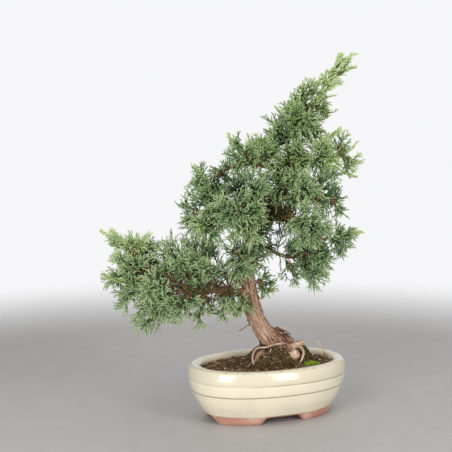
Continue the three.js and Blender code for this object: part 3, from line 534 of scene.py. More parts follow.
def shade(colour, share):
    """A darker or lighter step of a colour."""
    return tuple(min(1.0, part * share) for part in colour)


def between(one, two, share):
    """A colour on the way from one to the other."""
    return tuple(a + (b - a) * share for a, b in zip(one, two))


def srgb(red, green, blue):
    """A colour as 0 to 255 on screen, as the shader's own numbers."""
    shares = [value / 255 for value in (red, green, blue)]
    return tuple(s / 12.92 if s <= 0.04045 else ((s + 0.055) / 1.055) ** 2.4 for s in shares)


# Pot

def oval(half_length, angles):
    """x and y of the pot's outline at these angles, where it is this long."""
    power = 2 / POT_SQUARENESS
    along, beside = np.cos(angles), np.sin(angles)
    x = half_length * np.sign(along) * np.abs(along) ** power
    y = (half_length - POT_NARROWING) * np.sign(beside) * np.abs(beside) ** power
    return x, y


def even_angles(sides):
    """Angles that stand at even steps round the pot."""
    fine = np.linspace(0, 2 * np.pi, 20001)
    x, y = oval(WIDEST_HALF, fine)
    length = np.concatenate([[0], np.cumsum(np.hypot(np.diff(x), np.diff(y)))])
    return np.interp(np.linspace(0, length[-1], sides, endpoint=False), length, fine)


def arch_height(x, y):
    """How high the underside stands over the ground between the feet."""
    front = (FRONT_GAP[0] / 2 - np.abs(x)) / ((FRONT_GAP[0] - FRONT_GAP[1]) / 2)
    end = (END_GAP[0] / 2 - np.abs(y)) / ((END_GAP[0] - END_GAP[1]) / 2)
    rise = np.clip(np.maximum(front, end), 0, 1)
    return FOOT_HEIGHT * rise * rise * (3 - 2 * rise)


def spline(rows, steps):
    """Smooth run through the rows of a profile."""
    padded = [(half, 0.0, height) for half, height in rows]
    points, _, _ = smooth_path(padded, count=steps)
    return points[:, [0, 2]]


def glazed_pot(pot):
    angles = even_angles(POT_SIDES)
    rings = []
    for half, share in FOOT_PROFILE:
        x, y = oval(half, angles)
        low = arch_height(x, y)
        rings.append(np.stack([x, y, low + (FOOT_HEIGHT - low) * share], 1))
    for half, height in [WALL_START, *spline(POT_OUTSIDE, 64), *spline(POT_INSIDE, 14)[1:]]:
        x, y = oval(half, angles)
        rings.append(np.stack([x, y, np.full_like(x, height)], 1))
    mould = Mould()
    mould.add(np.concatenate(rings), ring_quads(len(rings), POT_SIDES))
    for rim, height, order in ((rings[-1], POT_FLOOR, 1), (rings[0], FOOT_HEIGHT, -1)):
        shells = [rim] + [rim * (share, share, 0) + (0, 0, height) for share in FLOOR_SHARES]
        count = len(shells) * POT_SIDES
        mould.add(np.vstack([*shells, [[0, 0, height]]]),
                  ring_quads(len(shells), POT_SIDES)[:, ::order],
                  fan(count - POT_SIDES, POT_SIDES, count)[:, ::order])
    piece = mould.object("glazed_pot")
    weld(piece)
    bore(piece, pot.drain_hole / MM / 2)
    return set_in_place(piece)


def weld(piece):
    """Joins points that lie on one another."""
    modifier = piece.modifiers.new("weld", "WELD")
    modifier.merge_threshold = 1e-6
    apply_modifiers(piece)


def apply_modifiers(piece):
    graph = bpy.context.evaluated_depsgraph_get()
    made = bpy.data.meshes.new_from_object(piece.evaluated_get(graph))
    made.name = piece.name
    piece.modifiers.clear()
    piece.data = made


def bore(piece, radius):
    """Cuts the round drain holes through the bottom of the pot."""
    angles = round_angles(DRAIN_HOLE_SIDES)
    mould = Mould()
    for middle in (-DRAIN_HOLE_OFFSET, DRAIN_HOLE_OFFSET):
        x, y = middle + radius * np.cos(angles), radius * np.sin(angles)
        rings = [np.stack([x, y, np.full_like(x, height)], 1) for height in DRAIN_CUT]
        ends = [[middle, 0, height] for height in DRAIN_CUT]
        mould.add(np.vstack([*rings, ends]), *closed_rings(2, DRAIN_HOLE_SIDES))
    cutter = mould.object("drain_cutter")
    modifier = piece.modifiers.new("drain", "BOOLEAN")
    modifier.operation, modifier.solver, modifier.object = "DIFFERENCE", "EXACT", cutter
    apply_modifiers(piece)
    bpy.data.objects.remove(cutter)


def glaze_finish(pot):
    finish = Finish("cream_glaze_over_terracotta", coat_roughness=0.06, specular_ior_level=0.5)
    place = finish.place()
    height = finish.height(place)
    wander = finish.noise(place, 60, 3) * 2.6 - 1.3
    fine = finish.noise(place, 420, 3) * 0.8 - 0.4
    glazed = finish.range(height + wander + fine, GLAZE_LINE - 0.5, GLAZE_LINE + 0.5)
    clouds = finish.noise(place, 22, 5, 0.6)
    cream = finish.ramp(clouds, (0.3, shade(pot.glaze, 0.88)), (0.55, tuple(pot.glaze)),
                        (0.75, shade(pot.glaze, 1.06)))
    # Thin and warmer where the glaze runs off an edge, pooled and grey in a groove
    lip = finish.range(height + fine, LIP_TOP - 0.9, LIP_TOP)
    cream = finish.mix(lip * 0.45, cream, srgb(206, 190, 158))
    # Painted shade: the wall from the upper groove up to the lip is greyed, so that it looks no
    # brighter than the lower wall
    painted_shade_band = finish.range(height, GROOVES[1] - 1, GROOVES[1] + 1)
    cream = finish.mix(painted_shade_band * 0.5, cream, srgb(204, 195, 170))
    low = 1 - finish.range(abs(height - GROOVES[0] + wander * 0.12), 0.25, 0.75)
    upper = 1 - finish.range(abs(height - GROOVES[1] + wander * 0.12), 0.2, 0.65)
    faded = finish.range(finish.noise(place, 14, 2), 0.42, 0.62)
    groove = low * 0.85 + upper * faded * 0.75
    cream = finish.mix(groove, cream, tuple(pot.groove))
    specks = finish.range(finish.noise(place, 900, 2), 0.68, 0.76) * 0.35
    cream = finish.mix(specks, cream, srgb(120, 98, 70))
    chips = finish.range(finish.noise(place, 230, 4), 0.57, 0.64)
    worn = finish.range(height, LIP_TOP - 2.1, LIP_TOP - 0.9) * chips
    cream = finish.mix(worn * 0.5, cream, srgb(128, 108, 78))
    grain = finish.noise(place, 1300, 4, 0.7)
    clay = finish.ramp(grain, (0.3, shade(pot.clay, 0.7)), (0.5, tuple(pot.clay)),
                       (0.72, shade(pot.clay, 1.25)))
    soot = finish.range(finish.noise(place, 90, 4), 0.55, 0.75)
    clay = finish.mix(soot * 0.45, clay, srgb(120, 84, 66))
    bloom = finish.range(finish.noise(place, 55, 4), 0.46, 0.6)
    clay = finish.mix(bloom * 0.65, clay, srgb(216, 186, 170))
    finish.set(base_color=finish.mix(glazed, clay, cream),
               roughness=0.78 - glazed * 0.6, coat_weight=glazed * 0.6)
    ripple = finish.noise(place, 35, 2) * 0.5 + finish.noise(place, 220, 2) * 0.06
    relief = ripple * 0.5 + grain * (1 - glazed) * 0.35 + glazed * 0.5
    finish.relief(relief, 0.8, 0.35)
    return finish.material


def mesh_finish():
    finish = Finish("black_plastic_mesh", specular_ior_level=0.4)
    place = finish.place()
    scuffs = finish.noise(place, 900, 4)
    finish.set(base_color=finish.ramp(scuffs, (0.35, srgb(24, 26, 28)), (0.7, srgb(58, 60, 60))),
               roughness=0.45 + scuffs * 0.3)
    finish.relief(scuffs, 0.15, 0.4)
    return finish.material


# Soil

def soil_lump(x, y):
    """How far the soil stands out in lumps of three sizes."""
    broad, small, fine = (noise.noise((x * size, y * size, plane))
                          for size, plane in ((0.16, 1.7), (0.5, 9.1), (1.1, 4.4)))
    return broad * 1.1 + small * 0.9 + abs(fine) * 0.8


def soil_bed():
    rim_x, rim_y = oval(SOIL_EDGE, even_angles(SOIL_SIDES))
    mound_x, mound_y = in_pot(*MOUND_TOP)
    rings = [np.stack([rim_x * 0.9, rim_y * 0.9, np.full(SOIL_SIDES, SOIL_BOTTOM + 1)], 1)]
    shares = np.concatenate([np.linspace(1, 0.2, 62), np.linspace(0.18, 0.02, 9)])
    for index, share in enumerate(shares):
        x, y = mound_x + (rim_x - mound_x) * share, mound_y + (rim_y - mound_y) * share
        lumps = np.array([soil_lump(*place) for place in zip(x, y)])
        inner = min(1.0, index / 3)
        z = soil_height(x, y) + (lumps - 0.3) * inner - (1 - inner) * 0.8
        rings.append(np.stack([x, y, z], 1))
    ends = [[0, 0, SOIL_BOTTOM], [mound_x, mound_y, soil_height(mound_x, mound_y)]]
    mould = Mould()
    mould.add(np.vstack([*rings, ends]), *closed_rings(len(rings), SOIL_SIDES))
    return set_in_place(mould.object("soil_bed"))


# A grain has twelve corners, as an icosahedron has
LONG = (1 + 5 ** 0.5) / 2
GRAIN_POINTS = unit([(-1, LONG, 0), (1, LONG, 0), (-1, -LONG, 0), (1, -LONG, 0), (0, -1, LONG),
                     (0, 1, LONG), (0, -1, -LONG), (0, 1, -LONG), (LONG, 0, -1), (LONG, 0, 1),
                     (-LONG, 0, -1), (-LONG, 0, 1)])
GRAIN_FACES = np.array([
    (0, 11, 5), (0, 5, 1), (0, 1, 7), (0, 7, 10), (0, 10, 11), (1, 5, 9), (5, 11, 4),
    (11, 10, 2), (10, 7, 6), (7, 1, 8), (3, 9, 4), (3, 4, 2), (3, 2, 6), (3, 6, 8), (3, 8, 9),
    (4, 9, 5), (2, 4, 11), (6, 2, 10), (8, 6, 7), (9, 8, 1)])


def grains(name, count, sizes, seed, flat):
    """Crumbs of many shapes that lie on the soil. flat is their height as a share of width."""
    draw = np.random.default_rng(seed)
    angles = draw.uniform(0, 2 * np.pi, count)
    shares = np.sqrt(draw.uniform(0, 1, count)) * 0.96
    x, y = oval(SOIL_EDGE, angles)
    x, y = x * shares, y * shares
    size = draw.uniform(0, 1, count) ** 2 * (sizes[1] - sizes[0]) + sizes[0]
    z = soil_height(x, y) + size * 0.25
    corners = len(GRAIN_POINTS)
    shapes = GRAIN_POINTS[None] * draw.uniform(0.65, 1.25, (count, corners, 1))
    shapes = shapes * np.stack([np.ones(count), draw.uniform(0.6, 1, count),
                                np.full(count, flat)], 1)[:, None]
    turn = draw.uniform(0, 2 * np.pi, count)
    cos, sin = np.cos(turn)[:, None], np.sin(turn)[:, None]
    spun = np.stack([cos * shapes[..., 0] - sin * shapes[..., 1],
                     sin * shapes[..., 0] + cos * shapes[..., 1], shapes[..., 2]], 2)
    points = spun * size[:, None, None] + np.stack([x, y, z], 1)[:, None] + POT_MIDDLE
    faces = GRAIN_FACES[None] + (np.arange(count) * corners)[:, None, None]
    tone = np.repeat(draw.uniform(0, 1, count), corners)
    return mesh_object(name, points.reshape(-1, 3), [faces.reshape(-1, 3)], smooth=False,
                       values={"tone": tone})


def soil_finish(soil):
    finish = Finish("damp_brown_soil", specular_ior_level=0.25)
    place = finish.place()
    lumps = finish.noise(place, 300, 6, 0.7)
    crumbs = finish.cells(place, 700)
    colour = finish.ramp(lumps, (0.3, shade(soil.earth, 0.35)), (0.5, tuple(soil.earth)),
                         (0.68, shade(soil.earth, 2.4)))
    algae = finish.range(finish.noise(place, 45, 3), 0.5, 0.68)
    colour = finish.mix(algae * 0.45, colour, srgb(86, 84, 40))
    mossy = finish.range(finish.height(place) + lumps * 6, SOIL_LEVEL + 5, SOIL_LEVEL + 10)
    colour = finish.mix(mossy * 0.75, colour, finish.mix(lumps, srgb(50, 44, 18),
                                                         srgb(126, 116, 60)))
    finish.set(base_color=colour, roughness=0.95 - lumps * 0.15)
    finish.relief(lumps * 0.7 - crumbs * 0.6, 1.2, 0.8)
    return finish.material


def crumb_finish(name, dark, light, grain):
    finish = Finish(name, roughness=0.92, specular_ior_level=0.25)
    place = finish.place()
    speckle = finish.noise(place, 1500, 4, 0.7)
    tone = finish.value("tone")
    colour = finish.mix(tone, dark, light)
    finish.set(base_color=finish.mix(speckle * grain, colour, srgb(60, 44, 30)))
    finish.relief(speckle, 0.3, 0.6)
    return finish.material


# Wood

def bark_tube(mould, path, radius, sides, step, age, ridges=0.0, rough=0.5, seed=0):
    """Tube with bark running along it. radius and age are functions of the way along it, from
    0 to 1, and of the point there."""
    points, directions, lengths = smooth_path(path, step=step)
    side, over = carried_sides(directions)
    share = lengths / lengths[-1]
    angles = round_angles(sides)
    radii = np.array([radius(s, p) for s, p in zip(share, points)])
    turn = TRUNK_RIDGES * angles[None] + RIDGE_TWIST * share[:, None]
    reach = radii[:, None] * (1 + ridges * np.cos(turn))
    strips = np.array([[
        noise.noise((math.cos(a) * r * 0.55 + seed, math.sin(a) * r * 0.55, l * 0.07))
        + 0.5 * noise.noise((math.cos(a) * r * 1.4 + seed, math.sin(a) * r * 1.4, l * 0.16 + 7))
        for a in angles] for r, l in zip(radii, lengths)])
    reach = reach + strips * rough * np.minimum(1, radii / 4)[:, None]
    rings = ring_stack(points, side, over, reach, angles)
    ends = [points[0], points[-1] + directions[-1] * radii[-1] * END_BULGE]
    ages = np.array([age(s, p) for s, p in zip(share, points)])
    mould.add(turned(np.vstack([rings.reshape(-1, 3), ends])), *closed_rings(len(points), sides),
              along=np.append(np.repeat(lengths, sides), [0, lengths[-1]]),
              around=np.append(radii[:, None] * angles[None], [0, 0]),
              relief=np.append(strips, [0, 0]),
              age=np.append(np.repeat(ages, sides), [ages[0], ages[-1]]))
    return turned(rings.reshape(-1, 3)).reshape(rings.shape), turned(points)


def trunk_radius(_, point):
    heights = [row[2] for row in TRUNK]
    return float(np.interp(point[2], heights, [row[3] for row in TRUNK]))


def trunk_age(_, point):
    return float(np.interp(point[2], *zip(*TRUNK_AGES)))


def taper(radii, collar=0.0):
    """Radius on the way from end to end, thicker by a collar where a limb starts."""
    def radius(share, _):
        return radii[0] + (radii[1] - radii[0]) * share + collar * math.exp(-share * 9)
    return radius


def steady(age):
    return lambda share, point: age


def on_soil(path):
    """The path's points, with heights above the soil made heights above the ground."""
    return [(x, y, float(soil_height(*in_pot(x, y))) + lift) for x, y, lift in path]


def bark_flakes(mould, rings, middles, count, seed):
    """Strips of bark that lift off at one end, more of them low on the trunk."""
    draw = np.random.default_rng(seed)
    rows, sides = rings.shape[:2]
    for _ in range(count):
        row = int(rows * draw.beta(1.0, 3.4))
        span = int(draw.integers(4, 10))
        if row + span >= rows:
            continue
        side = int(draw.integers(sides))
        wide = int(draw.integers(1, 4))
        lifted = draw.uniform(0.4, 1.9)
        picked = np.arange(row, row + span + 1)
        share = np.linspace(0, 1, span + 1)
        if draw.uniform() < 0.5:
            share = share[::-1]
        edges = []
        for place in (side, side + wide):
            edge = rings[picked, place % sides]
            outward = unit(edge - middles[picked])
            narrow = (place != side) * 0.3 * share[:, None] ** 2
            edge = edge * (1 - narrow) + rings[picked, side] * narrow
            edges.append((edge, outward, 0.1 + lifted * share[:, None] ** 2))
        low = [edge + outward * (lift - 0.35) for edge, outward, lift in edges]
        high = [edge + outward * lift for edge, outward, lift in edges]
        loop = np.stack([high[0], high[1], low[1], low[0]], 1).reshape(-1, 3)
        caps = np.array([(0, 1, 2), (0, 2, 3), (0, 2, 1), (0, 3, 2)])
        caps[2:] += span * 4
        tone = draw.uniform(-0.1, 0.55)
        mould.add(loop, ring_quads(span + 1, 4)[:, ::-1], caps, along=draw.uniform(0, 90), around=0,
                  relief=tone, age=0.9)


def knob(mould, middle, radius, age, seed):
    """Rough round lump of wood."""
    rows, sides = 18, 28
    rise = np.linspace(-np.pi / 2, np.pi / 2, rows + 2)[1:-1, None]
    angles = round_angles(sides)
    ball = np.stack([np.cos(rise) * np.cos(angles), np.cos(rise) * np.sin(angles),
                     np.sin(rise) * np.ones(sides)], -1).reshape(-1, 3)
    ball = np.vstack([ball, [[0, 0, -1], [0, 0, 1]]])
    relief = np.array([noise.noise((a * 1.9 + seed, b * 1.9, c * 3.4)) for a, b, c in ball])
    swirl = np.sin(ball[:, 2] * 9 + ball[:, 0] * 4) * 0.05
    body = np.array(middle) + ball * radius * (1 + 0.3 * relief + swirl)[:, None]
    mould.add(turned(body), *closed_rings(rows, sides), along=body[:, 2], around=body[:, 0],
              relief=relief, age=age)


def trunk_and_limbs(wood):
    mould = Mould()
    rings, middles = bark_tube(mould, TRUNK_PATH, trunk_radius, 56, 1.6, trunk_age, RIDGE_DEPTH,
                               wood.bark_depth / MM, 3)
    bark_flakes(mould, rings, middles, wood.flakes, 8)
    for seed, (path, radii) in enumerate(LIMBS.values(), 11):
        bark_tube(mould, path, taper(radii, 0.6 * radii[0]), 14, 2.0,
                  lambda share, _: 0.35 - 0.3 * share, rough=0.45, seed=seed)
    for seed, (path, radii) in enumerate(ROOTS.values(), 40):
        bark_tube(mould, on_soil(path), taper(radii), 14, 1.4, steady(0.75), rough=0.8, seed=seed)
    for seed, (path, radii, age, rough) in enumerate(BARE_ROOTS.values(), 50):
        bark_tube(mould, path, taper(radii), 18, 0.8, steady(age), rough=rough, seed=seed)
    for lump in KNOBS:
        knob(mould, *lump)
    path, radii = DEAD_TWIG
    bark_tube(mould, path, taper(radii), 10, 1.2, steady(0.0), rough=0.1, seed=60)
    return mould.object("trunk_and_limbs")


def bark_finish(wood):
    finish = Finish("flaking_juniper_bark", specular_ior_level=0.3)
    along, around = finish.value("along"), finish.value("around")
    age, relief = finish.value("age"), finish.value("relief")
    strips = finish.noise(finish.vector(along / 9, around / 1.6), 1.0, 6, 0.65)
    fine = finish.noise(finish.place(), 900, 5, 0.7)
    # The bark's colours follow the strips that also raise its bump: darker in the furrows and pale on
    # the ridges, partly the bark's own colours and partly painted shade in the furrows and a painted
    # highlight on the ridges
    young = finish.ramp(strips, (0.32, shade(wood.young_bark, 0.32)),
                        (0.5, tuple(wood.young_bark)),
                        (0.66, between(wood.young_bark, wood.bark_ridge, 0.45)))
    old = finish.ramp(strips, (0.3, shade(wood.old_bark, 0.26)), (0.4, shade(wood.old_bark, 0.66)),
                      (0.5, tuple(wood.old_bark)), (0.68, tuple(wood.bark_ridge)))
    pale = finish.ramp(strips, (0.32, shade(wood.bare_root, 0.3)),
                       (0.44, tuple(wood.bare_root)), (0.58, shade(wood.bark_ridge, 1.12)))
    colour = finish.mix(finish.range(age, 0.3, 0.95), young, old)
    colour = finish.mix(finish.range(age, 1.25, 1.6), colour, pale)
    # Darker where the bark's surface sinks in: partly the cracks' own colour, partly painted shade in
    # them
    cracks_and_shade = 1 - finish.range(relief, -0.45, -0.05)
    colour = finish.mix(cracks_and_shade * 0.28, colour, srgb(64, 42, 30))
    colour = finish.mix(finish.range(fine, 0.55, 0.75) * 0.35, colour, srgb(176, 146, 122))
    finish.set(base_color=colour, roughness=0.88 + fine * 0.1)
    finish.relief(strips * 0.8 + fine * 0.25, 1.4, 0.8)
    return finish.material


def through(starts, middles, ends):
    """Heading, bend and length of the whips that run through three points each."""
    first = 4 * middles - 3 * starts - ends
    second = 2 * ends + 2 * starts - 4 * middles
    length = np.maximum(np.linalg.norm(first, axis=1), 1e-6)
    return first / length[:, None], second / length[:, None], length


def root_fibres(wood):
    """Fine dead roots that hug the mound and climb onto the foot of the trunk. Their age says
    only where they are, under 1 on the mound and over 1 on the trunk, and their hue the tone."""
    fibres = wood.fibres
    draw = np.random.default_rng(31)
    whips = Whips()
    mound = np.array(in_pot(*MOUND_TOP))

    def on_mound(x, y, lift):
        return np.stack([x, y, soil_height(x, y) + lift], 1) + POT_MIDDLE

    angle = draw.uniform(0, 2 * np.pi, fibres)
    distance = 3 + np.abs(draw.normal(0, 13, fibres))
    x, y = mound[0] + distance * np.cos(angle) * 1.2, mound[1] + distance * np.sin(angle)
    way = angle + draw.choice([0.0, np.pi / 2, -np.pi / 2], fibres) + draw.normal(0, 0.6, fibres)
    span = draw.uniform(5, 15, fibres)
    ends_x, ends_y = x + span * np.cos(way), y + span * np.sin(way)
    lift = draw.uniform(0.2, 1.9, fibres)
    aside = draw.normal(0, 1.3, (2, fibres))
    middles = on_mound((x + ends_x) / 2 + aside[0], (y + ends_y) / 2 + aside[1],
                       lift + draw.uniform(0, 1.6, fibres))
    starts, ends = on_mound(x, y, lift - 0.5), on_mound(ends_x, ends_y, lift - 0.9)
    tone = draw.beta(1.1, 1.7, fibres)
    whips.add(Stems(starts, *through(starts, middles, ends), *same_ages(fibres, 0.1, 0.9),
                    tone * 0.95), draw.uniform(0.2, 0.5, fibres) * (1 - 0.3 * tone))
    # Shaggy fibres on the foot of the trunk, more on its right
    count = fibres // 3
    path, ways, _ = smooth_path(TRUNK_PATH, step=1.0)
    picked = draw.integers(16, 44, count)
    centre, way = path[picked], ways[picked]
    out = draw.normal(0, 1, (count, 3)) + (1.5, -0.4, 0.3)
    out = unit(out - way * (out * way).sum(1)[:, None])
    reach = np.array([trunk_radius(0, point) for point in centre])[:, None]
    starts = centre + out * (reach + draw.uniform(-0.4, 0.6, (count, 1)))
    span = draw.uniform(5, 15, (count, 1))
    ends = starts - way * span + out * draw.uniform(-0.8, 1.8, (count, 1))
    ends = ends + draw.normal(0, 2.6, (count, 3))
    middles = (starts + ends) / 2 + out * draw.exponential(1.5, (count, 1))
    starts, middles, ends = turned(starts), turned(middles), turned(ends)
    tone = draw.beta(0.9, 1.1, count)
    whips.add(Stems(starts, *through(starts, middles, ends), *same_ages(count, 1.1, 1.9),
                    tone * 0.95), draw.uniform(0.25, 0.7, count))
    return whips.object("root_fibres", rings=4)


def fibre_finish():
    finish = Finish("dead_root_fibres", roughness=0.9, specular_ior_level=0.2)
    along, tone = finish.map()
    streaks = finish.noise(finish.vector(along * 30, tone * 200), 1.0, 3)
    colour = finish.ramp(tone + streaks * 0.16 - 0.08, (0.05, srgb(52, 37, 21)),
                         (0.35, srgb(92, 78, 44)), (0.6, srgb(138, 114, 80)),
                         (0.92, srgb(206, 182, 152)))
    shaggy = finish.ramp(tone + streaks * 0.3 - 0.15, (0.06, srgb(80, 50, 38)),
                         (0.4, srgb(172, 124, 100)), (0.85, srgb(226, 190, 168)))
    colour = finish.mix(finish.range(along, 0.95, 1.05), colour, shaggy)
    finish.set(base_color=colour)
    finish.relief(streaks, 0.15, 0.5)
    return finish.material


# Moss and straw

def tufts(name, places, heights, seed, spread):
    """Many fine pointed moss leaves, that lean aside by the spread."""
    draw = np.random.default_rng(seed)
    count = len(places)
    lean = draw.normal(0, spread, (count, 3)) * (1, 1, 0)
    directions = unit(lean + (0, 0, 1))
    side, over = across(directions)
    tips = places + directions * heights[:, None]
    width = heights[:, None] * 0.22
    base = [places + side * width, places + over * width, places - (side + over) * width]
    points = np.stack([*base, tips], 1)
    faces = np.array([(0, 1, 3), (1, 2, 3), (2, 0, 3), (0, 2, 1)])
    faces = faces[None] + (np.arange(count) * 4)[:, None, None]
    tone = np.repeat(draw.uniform(0, 0.6, count), 4) + np.tile([0, 0, 0, 0.4], count)
    return mesh_object(name, points.reshape(-1, 3) + POT_MIDDLE, [faces.reshape(-1, 3)],
                       values={"tone": tone})


def moss_cushion(moss):
    draw = np.random.default_rng(5)
    angle = draw.uniform(0, 2 * np.pi, MOSS_LEAVES)
    share = np.sqrt(draw.uniform(0, 1, MOSS_LEAVES))
    wave = 1 + 0.14 * np.sin(3 * angle + 0.6) + 0.08 * np.sin(5 * angle)
    middle = in_pot(*MOSS_PLACE)
    x = middle[0] + MOSS_RADII[0] * share * wave * np.cos(angle - 0.1)
    y = middle[1] + MOSS_RADII[1] * share * wave * np.sin(angle - 0.1)
    dome = moss.cushion_height / MM * np.maximum(0, 1 - share ** 2) ** 0.7
    z = np.minimum(soil_height(x, y) - 0.9, soil_height(*middle) + 0.2) + dome
    heights = draw.uniform(0.9, 1.7, MOSS_LEAVES)
    return tufts("moss_cushion", np.stack([x, y, z], 1), heights, 6, 0.45)


def old_moss():
    """Thin dull moss on the mound, thicker near the roots."""
    draw = np.random.default_rng(15)
    count = OLD_MOSS_LEAVES
    distance = np.abs(draw.normal(0, 17, count)) + 3
    angle = draw.uniform(0, 2 * np.pi, count)
    mound = in_pot(*MOUND_TOP)
    x, y = mound[0] + distance * np.cos(angle), mound[1] + distance * np.sin(angle) * 0.8
    mossy = in_pot(*HUMPS[1][:2])
    moved = count // 5
    x[:moved], y[:moved] = (mossy[axis] + draw.normal(0, 5, moved) for axis in range(2))
    kept = np.array([noise.noise((a * 0.12, b * 0.12, 3.3)) > -0.12 for a, b in zip(x, y)])
    kept[:moved] = True
    kept &= np.hypot(x / 66, y / 40) < 0.95
    x, y = x[kept], y[kept]
    z = soil_height(x, y) - 0.2
    heights = draw.uniform(0.6, 1.7, len(x))
    return tufts("old_moss", np.stack([x, y, z], 1), heights, 16, 0.7)


def moss_finish(name, middle):
    finish = Finish(name, roughness=0.9, specular_ior_level=0.2)
    place = finish.place()
    tone = finish.value("tone") + finish.noise(place, 260, 3) * 0.5 - 0.25
    finish.set(base_color=finish.ramp(tone, (0.05, shade(middle, 0.32)), (0.5, tuple(middle)),
                                      (0.95, shade(middle, 2.0))))
    finish.relief(finish.noise(place, 2500, 2), 0.2, 0.5)
    return finish.material


def dry_straw():
    """Flattened stalk with a node in its middle."""
    mould = Mould()
    path, radii = STRAW
    points, directions, lengths = smooth_path(path, step=1.0)
    side, over = carried_sides(directions)
    share = lengths / lengths[-1]
    radius = radii[0] + (radii[1] - radii[0]) * share
    radius = radius + 0.35 * np.exp(-((share - 0.42) / 0.03) ** 2)
    sides = 12
    rings = ring_stack(points, side, over, radius[:, None], round_angles(sides), flat=0.7)
    mould.add(turned(np.vstack([rings.reshape(-1, 3), points[:1], points[-1:]])),
              *closed_rings(len(points), sides), along=np.append(np.repeat(share, sides), [0, 1]))
    return mould.object("dry_straw")


def straw_finish():
    finish = Finish("dry_straw", roughness=0.55, specular_ior_level=0.4)
    streaks = finish.noise(finish.place(), 1400, 3)
    colour = finish.ramp(finish.value("along"), (0.2, srgb(96, 48, 36)), (0.42, srgb(150, 92, 74)),
                         (0.5, srgb(204, 188, 140)), (0.95, srgb(226, 218, 176)))
    finish.set(base_color=finish.mix(streaks * 0.4, colour, srgb(150, 126, 84)))
    finish.relief(streaks, 0.2, 0.5)
    return finish.material


# Foliage

# How much yellower a shoot is than the usual green
YELLOW_SHOOTS = {
    "trunk_10": 0.55, "trunk_11": 0.2, "trunk_12": 0.1, "low_left_1": 0.3, "right_up_1": 0.3,
    "right_up_2": 0.25, "low_left_2": 0.15, "trunk_3": 0.15, "trunk_8": 0.15, "trunk_13": 0.1,
}
# How much lighter or darker a shoot is than most
LIGHT_SHOOTS = {
    "low_left_10": 0.16, "trunk_1": 0.14, "low_left_8": 0.1, "low_left_6": 0.08,
    "low_left_4": 0.08, "low_left_3": 0.08, "low_left_5": 0.05, "low_left_7": 0.04,
    "low_left_2": 0.06, "trunk_10": 0.28, "low_left_1": 0.18, "right_up_1": 0.18,
    "right_low_1": -0.06, "right_low_2": -0.04, "trunk_9": -0.04,
}
# How far the sprays of a shoot reach, where they are longer or shorter than most
SHOOT_REACH = {
    "up_left_5": 0.58, "up_left_4": 0.68, "right_mid_1": 0.68, "right_hang_1": 0.8,
    "trunk_2": 0.88, "trunk_4": 0.86, "right_up_1": 0.7, "right_low_1": 0.65, "mid_left_1": 0.9,
    "low_left_10": 0.75, "trunk_1": 0.75, "low_left_8": 0.6, "low_left_6": 0.8, "trunk_11": 0.78,
    "trunk_12": 0.8, "trunk_5": 0.62, "low_left_7": 1.12, "trunk_3": 0.75, "low_back_2": 0.9,
    "low_left_4": 0.9, "low_left_1": 0.7, "low_left_5": 0.84, "low_left_9": 0.7,
    "right_front_1": 1.2, "trunk_7": 1.1, "trunk_10": 0.6, "up_left_2": 0.85,
}
# Where the inner foliage is dead and brown, and the share of sprays that it lost: place in
# the tree's frame and reach
BROWN_PLACES = [((6, -20, 203), 13), ((20, -24, 205), 12), ((8, -38, 205), 13),
                ((24, -40, 204), 11), ((14, -10, 210), 13), ((-42, -24, 127), 8),
                ((0, -36, 212), 9), ((8, -52, 206), 10),
                ((-46, -28, 128), 8), ((-62, -32, 128), 9), ((-46, -42, 128), 8),
                ((-62, -44, 129), 8), ((-78, -32, 131), 9), ((-78, -44, 132), 8),
                ((-94, -30, 140), 9), ((-94, -42, 140), 8), ((-108, -24, 147), 8),
                ((30, -12, 262), 8), ((16, -8, 232), 9), ((34, -12, 232), 8)]
BROWN_LOSS = 0.62
# Where light shows through between the limbs, and the share of sprays that gives way to it
CLEARINGS = [((x, y, z - y / 18), reach) for x, z, reach in
             ((-45, 165, 10), (-36, 172, 10), (-26, 178, 8), (1, 180, 8), (9, 170, 9),
              (9, 154, 9), (15, 138, 9)) for y in (-44, -32, -20, -8, 8, 20, 32, 44)]
CLEARING_LOSS = 0.85
